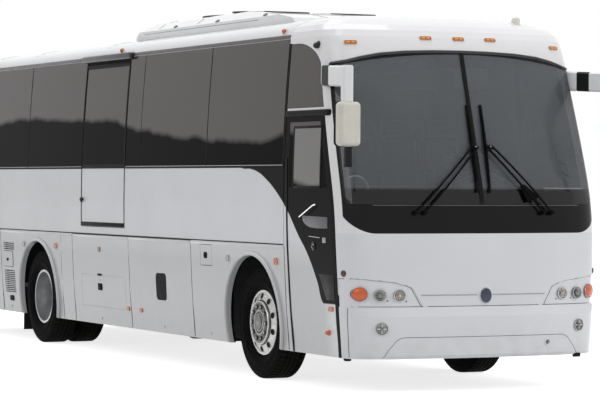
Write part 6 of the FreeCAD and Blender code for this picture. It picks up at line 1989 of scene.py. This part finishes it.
def makeRoofTrim():
    v = roofTrim
    for rear, name in v["hatches"]:
        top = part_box(name)[1][2]
        ribs = []
        for y in (-0.16, 0.0, 0.16):
            ribs.append(cubeAt((rear + 0.08, y - 0.018, top - 0.003), (rear + 0.56, y + 0.018, top + 0.006),
                               0.004))
        label = "Front" if name.endswith("front") else "Rear"
        finishPiece(ribs, "hatchRibs" + label, whiteRoof, name)
        pull = [cubeAt((rear + 0.020, -0.060, top - 0.003), (rear + 0.052, 0.060, top + 0.012), 0.006)]
        finishPiece(pull, "hatchPull" + label, blackPlastic, name)
        seal = []
        for start, end in (((rear - 0.02, -0.32), (rear + 0.66, -0.32)),
                           ((rear - 0.02, 0.32), (rear + 0.66, 0.32)),
                           ((rear - 0.02, -0.32), (rear - 0.02, 0.32)),
                           ((rear + 0.66, -0.32), (rear + 0.66, 0.32))):
            line = []
            for i in range(9):
                share = i / 8
                x, y = start[0] + (end[0] - start[0]) * share, start[1] + (end[1] - start[1]) * share
                line.append(onTop(x, y, "roof")[0])
            seal.append(tube(line, 0.010, sides=2))
        finishPiece(seal, "hatchCurb" + label, rubberSeal)
    ribs = []
    for back in v["roofRibs"]:
        line = [onTop(noseX - back, -1.12 + 2.24 * i / 28, "roof", "rear_cap")[0] for i in range(29)]
        ribs.append(tube([p for p in line if p], 0.0035, sides=1))
    finishPiece(ribs, "roofSeams", podJointAndGrooveShade)
    back, y = v["knob"]
    place, normal = onTop(noseX - back, y, "front_cap", "roof")
    knob = lathe([(0, 0.064), (0.018, 0.062), (0.034, 0.050), (0.040, 0.030), (0.041, 0.008), (0.050, 0.004),
                  (0.052, -0.010)],
                 32)
    finishPiece(layOn(knob, place, normal), "roofKnob", warmShell, "coach", 60)
    place, normal = hitOn(("front_cap", "roof"), (noseX - v["doorKnob"][0], -3, v["doorKnob"][1]), (0, 1, 0))
    dark = lathe([(0, 0.052), (0.014, 0.050), (0.024, 0.040), (0.028, 0.020), (0.030, 0.004),
                  (0.034, -0.006)], 28)
    finishPiece(layOn(dark, place, (0, -1, -0.35)), "doorTopKnob", blackPlastic, "coach", 60)


# grey for the roof joints, also used as the painted shade of the fairing grooves
podJointAndGrooveShade = plainMaterial("roofJointAndGrooveShade", (0.30, 0.30, 0.31), 0.5, vary=0.1, scale=30, bump=0.05)
makeRoofUnitTrim()
makeRoofTrim()
print("roof made")


cameraView = {"place": (25.017, -11.127, 1.812), "turn": (1.563688, -0.004686, 1.127502), "lens": 156.626}
light = {"worldStrength": 0.44, "key": 640, "fill": 1000, "top": 1180, "floorLit": 0.62, "floorSeen": 0.85,
         "floorGlow": 0.78}


def makeCamera():
    deselectAll()
    bpy.ops.object.camera_add(location=cameraView["place"], rotation=cameraView["turn"])
    camera = bpy.context.object
    camera.data.lens = cameraView["lens"]
    camera.data.sensor_width = 36
    camera.data.clip_end = 500
    bpy.context.scene.camera = camera


def seenDirectly(tree):
    path = addNode(tree, "ShaderNodeLightPath")
    return mathOf(tree, "MAXIMUM", path.outputs["Is Camera Ray"],
                  mathOf(tree, "MAXIMUM", path.outputs["Is Glossy Ray"], path.outputs["Is Transmission Ray"]))


def makeWorld():
    world = bpy.data.worlds.new("studio")
    bpy.context.scene.world = world
    world.use_nodes = True
    tree = world.node_tree
    back = tree.nodes["Background"]
    back.inputs["Color"].default_value = (1, 1, 1, 1)
    tree.links.new(rangeOf(tree, seenDirectly(tree), 0, 1, light["worldStrength"], 1),
                   back.inputs["Strength"])


def makeLamp(name, place, aim, size, power, mirrored=True):
    deselectAll()
    bpy.ops.object.light_add(type="AREA", location=place)
    lamp = bpy.context.object
    lamp.name = name
    lamp.data.shape = "RECTANGLE"
    lamp.data.size, lamp.data.size_y = size
    lamp.data.energy = power
    lamp.visible_glossy = mirrored
    lamp.rotation_euler = (Vector(aim) - Vector(place)).to_track_quat("-Z", "Y").to_euler()


def makeStage():
    deselectAll()
    bpy.ops.mesh.primitive_plane_add(size=1, location=(0, 0, 0))
    ground = bpy.context.object
    ground.name = "paleFloor"
    ground.scale = (400, 400, 1)
    bpy.ops.object.transform_apply(location=False, rotation=False, scale=True)
    startEdit(ground)
    bpy.ops.mesh.subdivide(number_cuts=8)
    endEdit()
    material, tree, shader = newMaterial("paleStudioFloor")
    shader.inputs["Roughness"].default_value = 1.0
    shader.inputs["Specular IOR Level"].default_value = 0.0
    ramp = rampOf(tree, noiseOn(tree, 0.6, 4),
                  [(0.3, (light["floorLit"],) * 3), (0.7, (light["floorLit"] + 0.02,) * 3)])
    seen = seenDirectly(tree)
    tree.links.new(blendColors(tree, seen, ramp, (light["floorSeen"],) * 3),
                   shader.inputs["Base Color"])
    shader.inputs["Emission Color"].default_value = (1, 1, 1, 1)
    tree.links.new(mathOf(tree, "MULTIPLY", seen, light["floorGlow"]), shader.inputs["Emission Strength"])
    ground.data.materials.append(material)


makeCamera()
makeWorld()
makeStage()
makeLamp("keyPanel", (12, -16, 11), (0, 0, 1.5), (12, 8), light["key"])
makeLamp("fillPanel", (16, 12, 8), (2, 0, 1.5), (10, 8), light["fill"], mirrored=False)
makeLamp("topPanel", (-2, 0, 14), (-2, 0, 0), (16, 8), light["top"])
bpy.context.scene.view_settings.view_transform = "Standard"
print("stage set")
